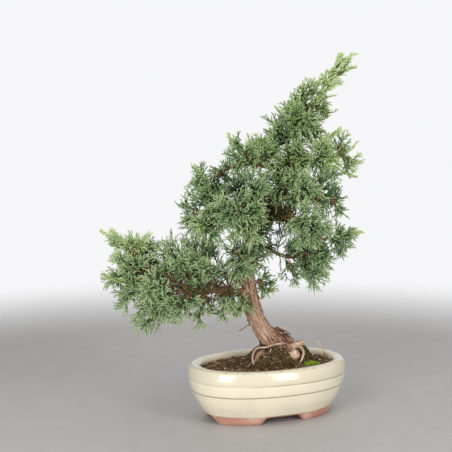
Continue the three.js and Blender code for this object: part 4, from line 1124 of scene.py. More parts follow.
# Sprays on the bare stretches of limb, in the order they are drawn. Each has the share of
# the limb's length, the heading in the tree's frame, its length and how light it is
LOOSE_SPRAYS = [
    ("right_low", [(0.42, (-0.3, -0.5, 0.9), 20, 0.1), (0.5, (0.2, 0.4, 1), 22, 0.0),
        (0.58, (0.5, -0.5, 0.8), 20, 0.0), (0.62, (0.1, -0.4, -0.8), 15, 0.1),
        (0.68, (0.4, 0.5, 0.9), 22, 0.0), (0.76, (0.1, -0.6, 0.8), 21, 0.0),
        (0.82, (0.6, 0.1, -0.8), 15, 0.1), (0.9, (0.3, 0.3, 1), 20, 0.1),
        (0.18, (0.9, -0.6, 0.1), 19, 0.3), (0.28, (0.7, -0.8, -0.3), 18, 0.3)]),
    ("right_hang", [(0.54, (0.3, -0.5, -0.9), 21, 0.0), (0.62, (-0.4, 0.2, -1), 21, 0.0),
        (0.7, (0.3, -0.7, -0.7), 18, 0.1)]),
    ("right_front", [(0.5, (0.3, 0.4, -1), 20, 0.3), (0.7, (-0.2, 0.3, -1), 20, 0.2),
        (0.5, (0.5, 0.3, 0.8), 18, 0.4), (0.9, (0.2, 0.5, -1), 20, 0.2)]),
    ("right_mid", [(0.5, (0.2, 0.2, -1), 20, 0.3), (0.7, (0.3, 0.3, -1), 20, 0.3),
        (0.9, (0.1, 0.3, -1), 20, 0.3)]),
    ("trunk", [(0.9, (-0.2, -0.3, 1), 16, 0.4), (0.93, (0.3, -0.4, 1), 16, 0.45),
        (0.92, (0.9, -0.3, 0.2), 16, 0.35)]),
    ("low_left", [(0.96, (-0.9, -0.2, 0.1), 22, 0.4), (1.0, (-0.9, -0.1, 0.7), 24, 0.5),
        (1.0, (-0.6, 0.2, 0.8), 24, 0.45)]),
    ("right_up", [(0.85, (0.1, -0.1, 1), 12, 0.4), (1.0, (0.8, 0.1, 0.7), 15, 0.5),
        (1.0, (0.9, 0, -0.1), 14, 0.45), (0.85, (0.3, 0.2, -0.9), 22, 0.3)]),
    ("up_left", [(0.75, (-0.3, -0.8, 0.2), 14, 0.35), (0.82, (-0.5, -0.7, 0.2), 14, 0.35),
        (0.88, (-0.4, -0.9, 0.1), 16, 0.3), (0.94, (-0.7, -0.6, 0.1), 17, 0.35),
        (0.6, (-0.4, -0.9, 0.3), 18, 0.3), (0.9, (-0.8, 0.1, -0.5), 18, 0.2),
        (0.84, (-0.2, -1, 0.1), 15, 0.3), (0.78, (-0.1, -1, -0.2), 15, 0.25)]),
    ("mid_left", [(0.9, (-0.9, -0.2, 0.7), 24, 0.3), (1.0, (-1, 0, 0.2), 24, 0.3),
        (0.85, (-0.5, -0.5, 0.9), 22, 0.25)]),
    ("low_back", [(0.5, (-0.1, -0.4, 1), 30, 0.3)]),
    ("mid_left", [(0.95, (-0.8, 0.1, -0.8), 26, 0.25), (1.0, (-0.7, -0.2, -0.9), 26, 0.3)]),
    ("low_left", [(0.04, (0.1, -0.9, -0.6), 20, 0.45), (0.08, (-0.2, -0.7, -0.8), 22, 0.5),
        (0.12, (0.2, -0.8, -0.7), 22, 0.45), (0.16, (-0.1, -0.6, -0.9), 24, 0.5),
        (0.1, (-0.2, -0.9, 0.3), 18, 0.3), (0.2, (0.1, -0.7, -0.8), 22, 0.5),
        (0.05, (-0.1, -0.8, 0.1), 16, 0.3), (0.24, (0, -0.4, -1), 22, 0.45)]),
    ("right_low", [(0.64, (0.2, -0.9, 0.3), 16, 0.05), (0.72, (0.3, -0.9, -0.2), 16, 0.1),
        (0.8, (0.1, -0.9, 0.3), 16, 0.05), (0.88, (0.3, -0.9, -0.3), 17, 0.1),
        (0.96, (0.1, -0.9, 0.1), 16, 0.1), (0.7, (-0.2, -0.6, 0.8), 17, 0.0),
        (0.94, (0.4, -0.7, 0.8), 18, 0.1), (0.85, (-0.1, -0.7, -0.8), 17, 0.1)]),
    ("mid_left", [(0.95, (-0.9, 0, 0.9), 24, 0.35)]),
    ("low_back", [(0.4, (-0.2, -0.2, 1), 30, 0.25)]),
    ("right_mid", [(1.0, (0.45, 0.1, 0.95), 24, 0.35), (0.95, (0.7, -0.2, -0.2), 13, 0.3)]),
    ("right_back", [(0.9, (0.4, -0.3, -0.8), 20, 0.25), (1.0, (0.3, -0.4, 0.8), 20, 0.3)]),
]
# Long pointed tips with short side stems, each through three places of the tree's frame
LEADING_TIPS = [
    ((51, 0, 316), (65, 0, 340), (73.4, 0, 357.2)), ((62, 0, 333), (74.8, 0, 348), (87, 0, 354)),
    ((56, 0, 323), (72, 0, 337.5), (87.3, 0, 341.3)), ((56, -2, 323), (64.8, -3, 330), (70.6, -3, 333)),
    ((51, -2, 316), (62, -3, 323), (69.7, -3, 326)), ((47, -1, 309), (59, -2, 314), (68.8, -2, 316)),
    ((40, -1, 305), (36, -4, 318), (36.3, -4, 331)), ((46, -1, 316), (50.4, -2, 327), (53.3, -2, 334)),
    ((54, -1, 325), (57.2, -2, 334), (59, -2, 340.5)), ((49, 1, 312), (60, 1, 326), (68, 1, 341)),
    ((46, 2, 306), (55, 2, 322), (62, 3, 333)), ((44, -3, 302), (52, -5, 314), (58, -5, 326)),
    ((-132, -6, 160), (-150, -8, 176), (-160.7, -8, 185.5)),
    ((-128, -8, 164), (-144, -8, 178), (-152, -8, 186)),
    ((-134, -16, 134), (-150, -20, 140), (-160, -21, 142.5)),
    ((-122, -6, 158), (-121, -10, 174), (-115.5, -10, 184)),
    ((66, 4, 173), (81, 4, 179), (94, 4, 181)), ((68, -6, 256), (80, -6, 262), (88, -6, 271.6)),
    ((50, -4, 264), (62, -6, 277), (72, -6, 283)), ((66, -6, 247), (79, -6, 240), (88, -6, 237.6)),
    ((-58, -8, 238), (-66, -8, 244), (-71.3, -8, 250.7)),
    ((-24, 0, 258), (-32, 0, 270), (-38, 0, 279.5)), ((-12, 0, 258), (-16, 0, 270), (-19, 0, 279.3)),
    ((22, 0, 290), (14, 0, 299), (8.6, 0, 306.3)),
]
# Brown twigs among the foliage: limb, from and to, how many, and how long they are
INNER_TWIGS = [
    ("low_left", 0.12, 0.85, 260, (8, 24)), ("low_back", 0.1, 0.6, 60, (8, 18)),
    ("mid_left", 0.0, 0.6, 60, (6, 16)), ("mid_front", 0.0, 0.6, 50, (6, 15)),
    ("right_mid", 0.0, 0.6, 50, (6, 15)), ("right_front", 0.0, 0.6, 130, (7, 18)),
    ("right_front", 0.1, 0.5, 150, (4, 10)), ("mid_front", 0.1, 0.45, 90, (4, 10)),
    ("right_low", 0.1, 0.9, 60, (6, 15)), ("right_hang", 0.0, 0.6, 70, (8, 20)),
    ("up_left", 0.0, 0.6, 50, (6, 15)), ("right_up", 0.0, 0.6, 50, (6, 15)),
    ("right_back", 0.0, 0.6, 40, (6, 15)), ("mid_back", 0.0, 0.6, 40, (6, 15)),
    ("trunk", 0.46, 0.56, 260, (8, 24)), ("trunk", 0.58, 0.86, 150, (6, 16)),
    ("trunk", 0.3, 0.44, 40, (6, 14)),
]
# Stems are rows of arrays: where each starts, its way, how far it bends aside, its length,
# how old its base and its tip look, and its hue. Age is 0 for a brown twig and 1 for a pale
# tip, and hue is 0 for blue-green and 1 for yellow-green.
Stems = namedtuple("Stems", "base heading bend length young old hue")
# How far a main stem bends towards the way of its sweep, as a share of its length
SWEEP_BEND = 0.22
# A side stem has a fork for each stretch of this length
FORK_LENGTH = 3.6
# Every whip has three sides, and takes a strip this wide in the map
WHIP_SIDES = 3
MAP_STRIP = 0.006


def same_ages(count, young, old):
    """One age for the bases and one for the tips of that many stems."""
    return np.full(count, young), np.full(count, old)


def picked_stems(stems, picked):
    return Stems(*(rows[picked] for rows in stems))


class Whips:
    """Fine tapering tubes, gathered as stems with their radius and made together."""

    def __init__(self):
        self.rows = []

    def add(self, stems, radius):
        self.rows.append((*stems, radius))

    def tubes(self, rings):
        """Points, groups of faces, and each group's map of age and hue."""
        base, heading, bend, length, young, old, hue, radius = map(np.concatenate,
                                                                   zip(*self.rows))
        sides, angles = WHIP_SIDES, round_angles(WHIP_SIDES)
        side, over = across(heading)
        share = 0.92 * np.arange(rings) / (rings - 1)
        run = length[:, None, None] * share[:, None]
        middles = base[:, None] + heading[:, None] * run + bend[:, None] * (run * share[:, None])
        width = radius[:, None] * (1 - 0.32 * share ** 2)
        spokes = (side[:, None, None] * np.cos(angles)[:, None]
                  + over[:, None, None] * np.sin(angles)[:, None])
        rims = middles[:, :, None] + spokes * width[:, :, None, None]
        tips = base + heading * length[:, None] + bend * length[:, None]
        points = np.concatenate([rims.reshape(len(base), -1, 3), tips[:, None]], 1)
        size = rings * sides + 1
        start = (np.arange(len(base)) * size)[:, None, None]
        steps = np.arange(sides)
        groups = (ring_quads(rings, sides), fan(size - 1 - sides, sides, size - 1),
                  steps[None, ::-1])
        faces = [(group[None] + start).reshape(-1, group.shape[1]) for group in groups]
        ages = young[:, None] + (old - young)[:, None] * np.append(share, 1.0)

        def mapped(stations, places):
            u, v = ages[:, stations], hue[:, None, None] + places / sides * MAP_STRIP
            return np.stack([u, v], -1).reshape(-1, 2)

        ring, place = np.repeat(np.arange(rings - 1), sides), np.tile(steps, rings - 1)
        maps = [mapped(np.stack([ring, ring, ring + 1, ring + 1], 1),
                       np.stack([place, place + 1, place + 1, place], 1)),
                mapped(np.tile([rings - 1, rings - 1, rings], (sides, 1)),
                       np.stack([steps, steps + 1, steps + 0.5], 1)),
                mapped(np.zeros((1, sides), int), steps[None, ::-1])]
        return points.reshape(-1, 3), faces, maps

    def object(self, name, rings=3):
        points, faces, maps = self.tubes(rings)
        return mesh_object(name, inside_box(points), faces, uv=np.concatenate(maps))


def welded(mesh):
    """Points and triangles of a node's mesh, with split points joined, in millimetres."""
    points = np.zeros(len(mesh.vertices) * 3)
    mesh.vertices.foreach_get("co", points)
    points = points.reshape(-1, 3) / MM
    triangles = np.zeros(len(mesh.loops), int)
    mesh.loops.foreach_get("vertex_index", triangles)
    _, first, joined = np.unique(np.round(points, 3), axis=0, return_index=True,
                                 return_inverse=True)
    return points[first], joined.reshape(-1)[triangles].reshape(-1, 3)


def path_lengths(points, triangles, root):
    """Length along the mesh's edges from the root point to every point."""
    near = {}
    for a, b, c in triangles:
        for p, q in ((a, b), (b, c), (c, a)):
            gap = float(np.linalg.norm(points[p] - points[q]))
            near.setdefault(p, []).append((gap, q))
            near.setdefault(q, []).append((gap, p))
    lengths = np.full(len(points), np.inf)
    lengths[root] = 0
    queue = [(0.0, root)]
    while queue:
        length, here = heapq.heappop(queue)
        if length > lengths[here]:
            continue
        for gap, there in near[here]:
            if length + gap < lengths[there]:
                lengths[there] = length + gap
                heapq.heappush(queue, (length + gap, there))
    return lengths


class Shoot:
    """What a solid of foliage says about the shoot it stands for."""

    def __init__(self, name, wood_points):
        self.points, self.triangles = welded(frame["nodes"][name].data)
        gaps = ((self.points[:, None] - wood_points[None]) ** 2).sum(2).min(1)
        self.lengths = path_lengths(self.points, self.triangles, int(gaps.argmin()))
        uses = np.bincount(self.triangles.ravel(), minlength=len(self.points))
        self.peaks = np.flatnonzero(uses == 3)
        touching = np.isin(self.triangles, self.peaks).any(1)
        self.stem = self.triangles[~touching]
        self.feet = []
        for peak in self.peaks:
            ring = self.triangles[(self.triangles == peak).any(1)]
            self.feet.append(sorted(set(ring.ravel()) - {peak}))
        self.feet = np.array(self.feet)


def spray_axes(shoot, draw, reach_share, crowd):
    """Main stems of the sprays: base, heading, sweep, length and how old the base is."""
    points, lengths = shoot.points, shoot.lengths
    total = lengths[np.isfinite(lengths)].max()
    base = points[shoot.feet].mean(1)
    reach = points[shoot.peaks] - base
    length = np.linalg.norm(reach, axis=1)
    age = lengths[shoot.feet].mean(1) / total
    heading = unit(reach)
    # More sprays on the plain lengths of stem between the bands
    corners = points[shoot.stem]
    normal = np.cross(corners[:, 1] - corners[:, 0], corners[:, 2] - corners[:, 0])
    area = np.linalg.norm(normal, axis=1) / 2
    where = lengths[shoot.stem]
    tall = where.max(1) - where.min(1)
    rows = np.arange(len(corners))
    forward = unit(corners[rows, where.argmax(1)] - corners[rows, where.argmin(1)])
    stem = np.flatnonzero(tall > 1.0)
    nearest = ((base[:, None] - corners[stem].mean(1)[None]) ** 2).sum(2).argmin(1)
    sweep = forward[stem][nearest]
    count = np.floor(area * crowd * reach_share ** 2 + draw.uniform(0, 1, len(area))).astype(int)
    count[(tall < 1.0) | (where.mean(1) / total < 0.06)] = 0
    picks = np.repeat(np.arange(len(area)), count)
    weight = draw.dirichlet((1, 1, 1), len(picks))
    more_base = (corners[picks] * weight[..., None]).sum(1)
    lean = np.radians(draw.uniform(28, 62, len(picks)))[:, None]
    outward = unit(unit(normal[picks]) + draw.normal(0, 0.35, (len(picks), 3)))
    more_heading = unit(forward[picks] * np.cos(lean) + outward * np.sin(lean))
    more_age = (where[picks] * weight).sum(1) / total
    more_length = length.mean() * (1.55 - 0.75 * more_age) * draw.uniform(0.6, 1.1, len(picks))
    return (np.vstack([base, more_base]), np.vstack([heading, more_heading]),
            np.vstack([sweep, forward[picks]]),
            np.concatenate([length, more_length]) * reach_share,
            np.concatenate([age, more_age]))


def side_twigs(whips, draw, bearers, gap, share, lean, radius, least):
    """Alternate side stems in one plane on each bearer, which it also gives back."""
    counts = np.maximum(least, np.round(bearers.length / gap)).astype(int)
    bearer = np.repeat(np.arange(len(counts)), counts)
    number = np.concatenate([np.arange(count) for count in counts])
    total = len(number)
    along = (number + 0.5 + draw.uniform(-0.25, 0.25, total)) / (counts[bearer] + 0.1)
    along = 0.14 + 0.8 * along
    on = picked_stems(bearers, bearer)
    run = (on.length * along)[:, None]
    start = on.base + on.heading * run + on.bend * run * along[:, None]
    tangent = unit(on.heading + 2 * on.bend * along[:, None])
    side, over = across(tangent)
    plane = draw.uniform(0, 2 * np.pi, len(counts))[bearer]
    angle = plane + np.pi * (number % 2) + draw.normal(0, 0.35, total)
    out = side * np.cos(angle)[:, None] + over * np.sin(angle)[:, None]
    tilt = (lean * draw.uniform(0.75, 1.25, total))[:, None]
    direction = unit(tangent * np.cos(tilt) + out * np.sin(tilt))
    reach = on.length * share * (1.1 - 0.75 * along) + 1.4
    reach = reach * draw.uniform(0.75, 1.25, total)
    curl = tangent * 0.12 - out * 0.08 + draw.normal(0, 0.05, (total, 3))
    young = on.young + (on.old - on.young) * along
    old = np.minimum(young + 0.12 + 0.035 * reach, 1.0)
    hue = np.clip(on.hue + draw.normal(0, 0.04, total), 0.02, 0.97)
    made = Stems(start, direction, curl, reach, young, old, hue)
    whips.add(made, radius * draw.uniform(0.88, 1.12, total))
    return made


def inside_box(points):
    """Draws points that stand out of the solids' own box back to its sides."""
    low, high = (np.array(corner) / MM for corner in CAD_BOX)
    return np.clip(points, low + 0.05, high - 0.05)


def share_near(places, *rows):
    """How near each spray with these points is to a place, from 0 to 1."""
    share = np.zeros(len(rows[0]))
    for place, reach in places:
        for points in rows:
            gap = np.linalg.norm(points - turned(place), axis=1) / reach
            share = np.maximum(share, np.exp(-(gap ** 4)))
    return share


def grow_sprays(foliage, draw, stems, spread=0.56, gap=3.3, wander=1.0, stout=1.0):
    """Whips of whole sprays: main stems with their side stems, and the forks on those. The
    stems' bend is the way of their sweep."""
    girth = foliage.cord / MM / 2 * stout
    count = len(stems.base)
    bend = stems.bend * SWEEP_BEND + draw.normal(0, 0.06, (count, 3)) * wander
    bend[:, 2] += draw.uniform(-0.02, 0.1, count) * wander
    stems = stems._replace(bend=bend)
    long_whips, short_whips = Whips(), Whips()
    long_whips.add(stems, np.full(count, girth * 1.15))
    side = side_twigs(long_whips, draw, stems, gap, spread, math.radians(33), girth, 2)
    forked = picked_stems(side, side.length > FORK_LENGTH)
    side_twigs(short_whips, draw, forked, FORK_LENGTH, 0.5, math.radians(29), girth * 0.88, 1)
    return long_whips, short_whips


def foliage_piece(foliage, name, order, wood_points):
    """Fine sprays of one shoot, over the stem of the solid that it stands for."""
    draw = np.random.default_rng(100 + order)
    shoot = Shoot(name, wood_points)
    label = name.removeprefix("foliage_")
    base, heading, sweep, length, age = spray_axes(shoot, draw, SHOOT_REACH.get(label, 1.0),
                                                   foliage.sprays_per_area)
    length = length * foliage.reach
    middle = base + heading * length[:, None] * 0.6
    brown = np.clip((share_near(BROWN_PLACES, base, middle) - 0.3) / 0.3, 0, 1)
    clear = share_near(CLEARINGS, middle, base + heading * length[:, None])
    lost = np.maximum(brown * BROWN_LOSS, clear * CLEARING_LOSS)
    kept = draw.uniform(0, 1, len(base)) > lost
    base, heading, sweep, length, age, brown = (
        rows[kept] for rows in (base, heading, sweep, length, age, brown))
    count = len(base)
    yellow = YELLOW_SHOOTS.get(label, 0.0) + draw.normal(0, 0.05)
    patch = np.array([[noise.noise(point / 13), noise.noise(point / 17 + 40)]
                      for point in base])
    high = np.clip((base[:, 2] - 160) / 90, 0, 1)
    hue = 0.12 + 0.2 * high + yellow + 0.42 * patch[:, 1] + draw.normal(0, 0.07, count) + 0.1 * age
    hue = np.clip(hue, 0.02, 0.97)
    light = LIGHT_SHOOTS.get(label, 0.0) + 0.2 * patch[:, 0] + draw.normal(0, 0.03, count)
    light += 0.085 * (1 - high)
    # Sprays low on their shoot, inside the crown, get a lower age and so a deeper green: partly the
    # older leaves' own colour, partly painted shade
    young = (0.28 + 0.3 * age + light) * (1 - brown)
    old = np.minimum(young + 0.36 - 0.24 * brown, 1.0)
    whips = grow_sprays(foliage, draw, Stems(base, heading, sweep, length, young, old, hue))
    stem_uv = np.stack([0.04 + 0.3 * shoot.lengths[shoot.stem] / shoot.lengths.max(),
                        np.full(shoot.stem.shape, 0.4)], -1)
    stem_uv[..., 1] += np.array([0, 0.01, 0.02])
    return joined_whips("sprays_" + label, whips, [shoot.points], [shoot.stem],
                        [stem_uv.reshape(-1, 2)])


def limb_stations(name, shares):
    """Point and direction on a limb, or on the trunk, at each share of its length."""
    path = TRUNK_PATH if name == "trunk" else LIMBS[name][0]
    stations = 80
    points, directions, _ = smooth_path(path, count=stations)
    row = np.round(np.asarray(shares) * stations).astype(int)
    return points[row], directions[row]


def loose_sprays(foliage):
    draw = np.random.default_rng(71)
    stations = [limb_stations(limb, [spray[0] for spray in sprays])
                for limb, sprays in LOOSE_SPRAYS]
    base, sweep = (np.vstack(rows) for rows in zip(*stations))
    heading, length, light = (np.array(rows, float) for rows in zip(*(
        spray[1:] for _, sprays in LOOSE_SPRAYS for spray in sprays)))
    stems = Stems(turned(base), unit(turned_ways(heading)), turned_ways(sweep) * 0.5, length,
                  0.29 + light * 0.3, 0.44 + light, 0.1 + np.maximum(0, light - 0.3) * 2.2)
    return joined_whips("loose_sprays", grow_sprays(foliage, draw, stems))


def leading_tips(foliage):
    draw = np.random.default_rng(73)
    starts, middles, ends = (turned([row[part] for row in LEADING_TIPS]) for part in range(3))
    heading, bend, length = through(starts, middles, ends)
    count = len(starts)
    stems = Stems(starts, heading, bend / SWEEP_BEND, length, *same_ages(count, 0.62, 0.98),
                  draw.uniform(0.8, 0.96, count))
    whips = grow_sprays(foliage, draw, stems, spread=0.13, gap=1.8, wander=0.25, stout=1.4)
    return joined_whips("leading_tips", whips)


def inner_twigs():
    draw = np.random.default_rng(72)
    whips = Whips()
    for limb, first, last, count, reaches in INNER_TWIGS:
        base, way = limb_stations(limb, draw.uniform(first, last, count))
        base, way = turned(base), turned_ways(way)
        heading = unit(way * draw.uniform(0.2, 1, (count, 1)) + draw.normal(0, 0.6, (count, 3)))
        length = draw.uniform(*reaches, count)
        bend = draw.normal(0, 0.22, (count, 3))
        young, old = np.full(count, 0.02), draw.uniform(0.05, 0.17, count)
        hue = draw.uniform(0.05, 0.6, count)
        open_air = share_near(CLEARINGS, base + heading * length[:, None]) > 0.4
        length = np.where(open_air, 2.0, length)
        stems = Stems(base, heading, bend, length, young, old, hue)
        whips.add(stems, draw.uniform(0.4, 0.75, count))
        side_twigs(whips, draw, stems, 6.0, 0.5, math.radians(42), 0.4, 1)
    return whips.object("inner_twigs")


def joined_whips(name, kinds, points=(), triangles=(), triangle_uv=()):
    """One object from long and short whips, over the triangles of a stem."""
    all_points, quads, corners = list(points), [], []
    fans, fan_corners = list(triangles), list(triangle_uv)
    offset = sum(len(group) for group in all_points)
    for whips, rings in zip(kinds, (3, 2)):
        made, parts, maps = whips.tubes(rings)
        all_points.append(made)
        for part, corner in zip(parts, maps):
            four = part.shape[1] == 4
            (quads if four else fans).append(part + offset)
            (corners if four else fan_corners).append(corner)
        offset += len(made)
    groups = [np.concatenate(quads), np.concatenate(fans)]
    uv = np.concatenate([*corners, *fan_corners])
    return mesh_object(name, inside_box(np.concatenate(all_points)), groups, uv=uv)


def leaf_finish(foliage):
    finish = Finish("juniper_scale_leaves", roughness=0.55, specular_ior_level=0.35)
    age, hue = finish.map()
    twig, deep, pale = foliage.twig, foliage.deep_leaf, foliage.pale_leaf
    # The leaf's colour, how brown and how bright its inner leaves are, and how pale its tips
    # The deep green of the inner leaves is partly their own older colour and partly painted shade of
    # the inside of the crown
    ramps = [finish.ramp(age, (0.08, tuple(twig)), (0.2, between(deep, twig, brown)),
                         (0.34, between(deep, leaf, bright)), (0.6, tuple(leaf)),
                         (0.97, between(leaf, pale, paled)))
             for leaf, brown, bright, paled in ((foliage.blue_leaf, 0.12, 0.0, 0.62),
                                                (foliage.yellow_leaf, 0.3, 0.12, 0.95))]
    freckle = finish.noise(finish.vector(age * 60, hue * 300), 1.0, 3)
    colour = finish.mix(finish.range(hue, 0.1, 0.9), *ramps)
    colour = finish.mix(finish.range(freckle, 0.35, 0.65) * 0.3, colour, srgb(40, 74, 28))
    finish.set(base_color=colour)
    scales = (age * 150).sine() * 0.5 + 0.5
    finish.relief(scales, 0.25, 0.6)
    return finish.material


# Stage

# Camera: its place in the tree's own frame, how far it looks down, its roll and its lens
CAMERA_PLACE = (-40.23, -982.4, 281.6)
CAMERA_DIP = 0.0939
CAMERA_ROLL = -0.0086
CAMERA_LENS = 79.65
# Windows that show in the glaze: bearing and height in degrees, width and height, power
WINDOWS = {"window_left": (-50, 17, 0.56, 1.05, 11.0), "window_right": (20, 17, 0.35, 1.05, 6.8),
           "window_back": (150, 32, 1.1, 1.1, 2.2)}
WINDOW_DISTANCE = 1.2
# Strength of the surroundings as light, and as the camera sees them
SURROUNDINGS = (0.36, 0.94)
FLOOR_REACHES = (60, 1500)
FLOOR_HEIGHT = -0.05


def lamp(name, place, target, size, power):
    light = bpy.data.lights.new(name, "AREA")
    light.shape, light.size, light.size_y = "RECTANGLE", *size
    light.energy = power
    holder = bpy.data.objects.new(name, light)
    bpy.context.scene.collection.objects.link(holder)
    holder.location = place
    holder.rotation_euler = (Vector(target) - Vector(place)).to_track_quat("-Z", "Y").to_euler()


def stage_floor(stage):
    mould = Mould()
    sides = 64
    angles = round_angles(sides)
    shells = [np.stack([reach * np.cos(angles), reach * np.sin(angles),
                        np.full(sides, FLOOR_HEIGHT)], 1)
              for reach in np.geomspace(*FLOOR_REACHES, 12)]
    mould.add(np.vstack([*shells, [[0, 0, FLOOR_HEIGHT]]]),
              ring_quads(len(shells), sides)[:, ::-1], fan(0, sides, len(shells) * sides))
    floor = mould.object("pale_floor")
    finish = Finish("pale_floor", roughness=0.55, specular_ior_level=0.25)
    place = finish.place()
    grain = finish.noise(place, 40, 3)
    far = finish.node("ShaderNodeVectorMath", {"operation": "LENGTH"}, place, output=1)
    finish.set(base_color=finish.ramp(grain, (0.3, tuple(stage.floor)),
                                      (0.7, shade(stage.floor, 1.06))),
               alpha=1 - finish.range(far, 0.42, 0.95))
    floor.data.materials.append(finish.material)


def stage_camera():
    data = bpy.data.cameras.new("camera")
    data.lens, data.sensor_width = CAMERA_LENS, 36.0
    camera = bpy.data.objects.new("camera", data)
    bpy.context.scene.collection.objects.link(camera)
    heading = turned_ways([(0, math.cos(CAMERA_DIP), -math.sin(CAMERA_DIP))])[0]
    turn = Vector(heading).to_track_quat("-Z", "Y").to_matrix()
    turn = turn @ Matrix.Rotation(CAMERA_ROLL, 3, "Z")
    place = turned([CAMERA_PLACE])[0] * MM
    camera.matrix_world = Matrix.Translation(place) @ turn.to_4x4()
    bpy.context.scene.camera = camera


def stage_light(stage):
    world = bpy.data.worlds.new("studio")
    world.use_nodes = True
    nodes, links = world.node_tree.nodes, world.node_tree.links
    path = nodes.new("ShaderNodeLightPath")
    strength = nodes.new("ShaderNodeMapRange")
    for label, value in zip(("To Min", "To Max"), SURROUNDINGS):
        strength.inputs[label].default_value = value
    links.new(path.outputs["Is Camera Ray"], strength.inputs["Value"])
    links.new(strength.outputs[0], nodes["Background"].inputs["Strength"])
    nodes["Background"].inputs["Color"].default_value = (0.985, 0.985, 1.0, 1)
    bpy.context.scene.world = world
    bpy.context.scene.view_settings.view_transform = "Standard"
    target = POT_MIDDLE * MM + (0, 0, 0.05)
    for name, (bearing, height, wide, tall, power) in WINDOWS.items():
        bearing, height = math.radians(bearing), math.radians(height)
        away = np.array([math.sin(bearing) * math.cos(height),
                         -math.cos(bearing) * math.cos(height), math.sin(height)])
        lamp(name, target + away * WINDOW_DISTANCE, target, (wide, tall),
             power * stage.window_power)
    lamp("sky", (0.1, 0.1, 1.8), (0.0, 0.0, 0.15), (1.6, 1.6), stage.sky_power)


# Sizes and colours that a user may change

def length_property(name, description, millimetres):
    return bpy.props.FloatProperty(name=name, description=description, unit="LENGTH",
                                   default=millimetres * MM, min=0.0)


def share_property(name, description, share):
    return bpy.props.FloatProperty(name=name, description=description, subtype="FACTOR",
                                   default=share, min=0.0, soft_max=2.0)


def count_property(name, description, count):
    return bpy.props.IntProperty(name=name, description=description, default=count, min=0)


def colour_property(name, description, red, green, blue):
    return bpy.props.FloatVectorProperty(name=name, description=description, subtype="COLOR",
                                         default=srgb(red, green, blue), min=0.0, max=1.0)


class PotSettings(bpy.types.PropertyGroup):
    """Sizes and colours of the glazed pot"""

    drain_hole: length_property("Drain holes", "Width of each drain hole", 12.0)
    glaze: colour_property("Glaze", "Colour of the glaze on the sides", 239, 229, 203)
    groove: colour_property("Grooves", "Colour of the glaze in the grooves", 143, 124, 92)
    clay: colour_property("Clay", "Colour of the bare feet", 194, 142, 120)


class SoilSettings(bpy.types.PropertyGroup):
    """Sizes and colours of the soil and the moss"""

    crumbs: count_property("Crumbs", "How many loose crumbs lie on the soil", 1200)
    crumb_size: length_property("Crumb size", "Half the width of the largest crumb", 1.7)
    chips: count_property("Bark chips", "How many flat bark chips lie on the soil", 420)
    cushion_height: length_property("Moss height", "Height of the bright moss cushion", 3.4)
    earth: colour_property("Soil", "Colour of the soil", 96, 72, 48)
    bright_moss: colour_property("Bright moss", "Colour of the moss cushion", 138, 160, 36)
    dull_moss: colour_property("Dull moss", "Colour of the moss on the mound", 88, 88, 36)


class WoodSettings(bpy.types.PropertyGroup):
    """Sizes and colours of the trunk, the limbs and the roots"""

    bark_depth: length_property("Bark depth", "How deep the bark's furrows go", 0.9)
    flakes: count_property("Bark flakes", "How many strips of bark lift off the trunk", 420)
    fibres: count_property("Root fibres", "How many fine roots lie on the mound", 1500)
    young_bark: colour_property("Young bark", "Colour of the bark on the limbs", 138, 96, 70)
    old_bark: colour_property("Old bark", "Colour of the bark low on the trunk", 190, 154, 130)
    # The pale ridges are partly the bark's own colour and partly a painted highlight
    bark_ridge: colour_property("Bark ridges", "Colour of the pale ridges", 216, 190, 170)
    bare_root: colour_property("Bare roots", "Colour of the pale bare roots", 186, 154, 126)


class FoliageSettings(bpy.types.PropertyGroup):
    """Sizes and colours of the foliage"""

    cord: length_property("Cord width", "Width of a side stem with its scale leaves", 1.04)
    reach: share_property("Spray reach", "Reach of the sprays, as a share of their solids", 0.94)
    sprays_per_area: share_property("Density", "Sprays for each square millimetre of stem", 0.158)
    twig: colour_property("Twigs", "Colour of the brown twigs and dead sprays", 176, 130, 100)
    # The inner leaves' deep green is partly their own colour and partly painted shade
    deep_leaf: colour_property("Deep green leaf", "Colour of the inner leaves", 38, 82, 22)
    blue_leaf: colour_property("Blue-green leaf", "Colour of most leaves", 122, 161, 116)
    yellow_leaf: colour_property("Yellow-green leaf", "Colour of the young leaves", 150, 186, 76)
    pale_leaf: colour_property("Pale leaf", "Colour of the tips", 222, 238, 176)


class StageSettings(bpy.types.PropertyGroup):
    """Light and floor"""

    window_power: share_property("Windows", "Power of the windows, as a share", 1.0)
    sky_power: bpy.props.FloatProperty(name="Sky", description="Power of the light overhead",
                                       default=6.0, min=0.0, unit="POWER")
    floor: colour_property("Floor", "Colour of the floor", 180, 178, 176)


class BonsaiSettings(bpy.types.PropertyGroup):
    """Everything a user may change"""

    pot: bpy.props.PointerProperty(type=PotSettings, name="Pot", description="Pot")
    soil: bpy.props.PointerProperty(type=SoilSettings, name="Soil", description="Soil and moss")
    wood: bpy.props.PointerProperty(type=WoodSettings, name="Wood", description="Trunk and roots")
    foliage: bpy.props.PointerProperty(type=FoliageSettings, name="Foliage",
                                       description="Foliage")
    stage: bpy.props.PointerProperty(type=StageSettings, name="Stage", description="Stage")


SETTINGS = (PotSettings, SoilSettings, WoodSettings, FoliageSettings, StageSettings,
            BonsaiSettings)


# Operators and panel

class BONSAI_OT_pot(bpy.types.Operator):
    """Make the glazed pot and finish its drain meshes"""

    bl_idname, bl_label = "bonsai.pot", "Glazed pot"

    def execute(self, context):
        pot = context.scene.bonsai.pot
        finish_piece(glazed_pot(pot), glaze_finish(pot), "glaze", "pot")
        material = mesh_finish()
        for node in ("drain_mesh_1", "drain_mesh_2"):
            frame["nodes"][node].data.materials.clear()
            frame["nodes"][node].data.materials.append(material)
        return {"FINISHED"}


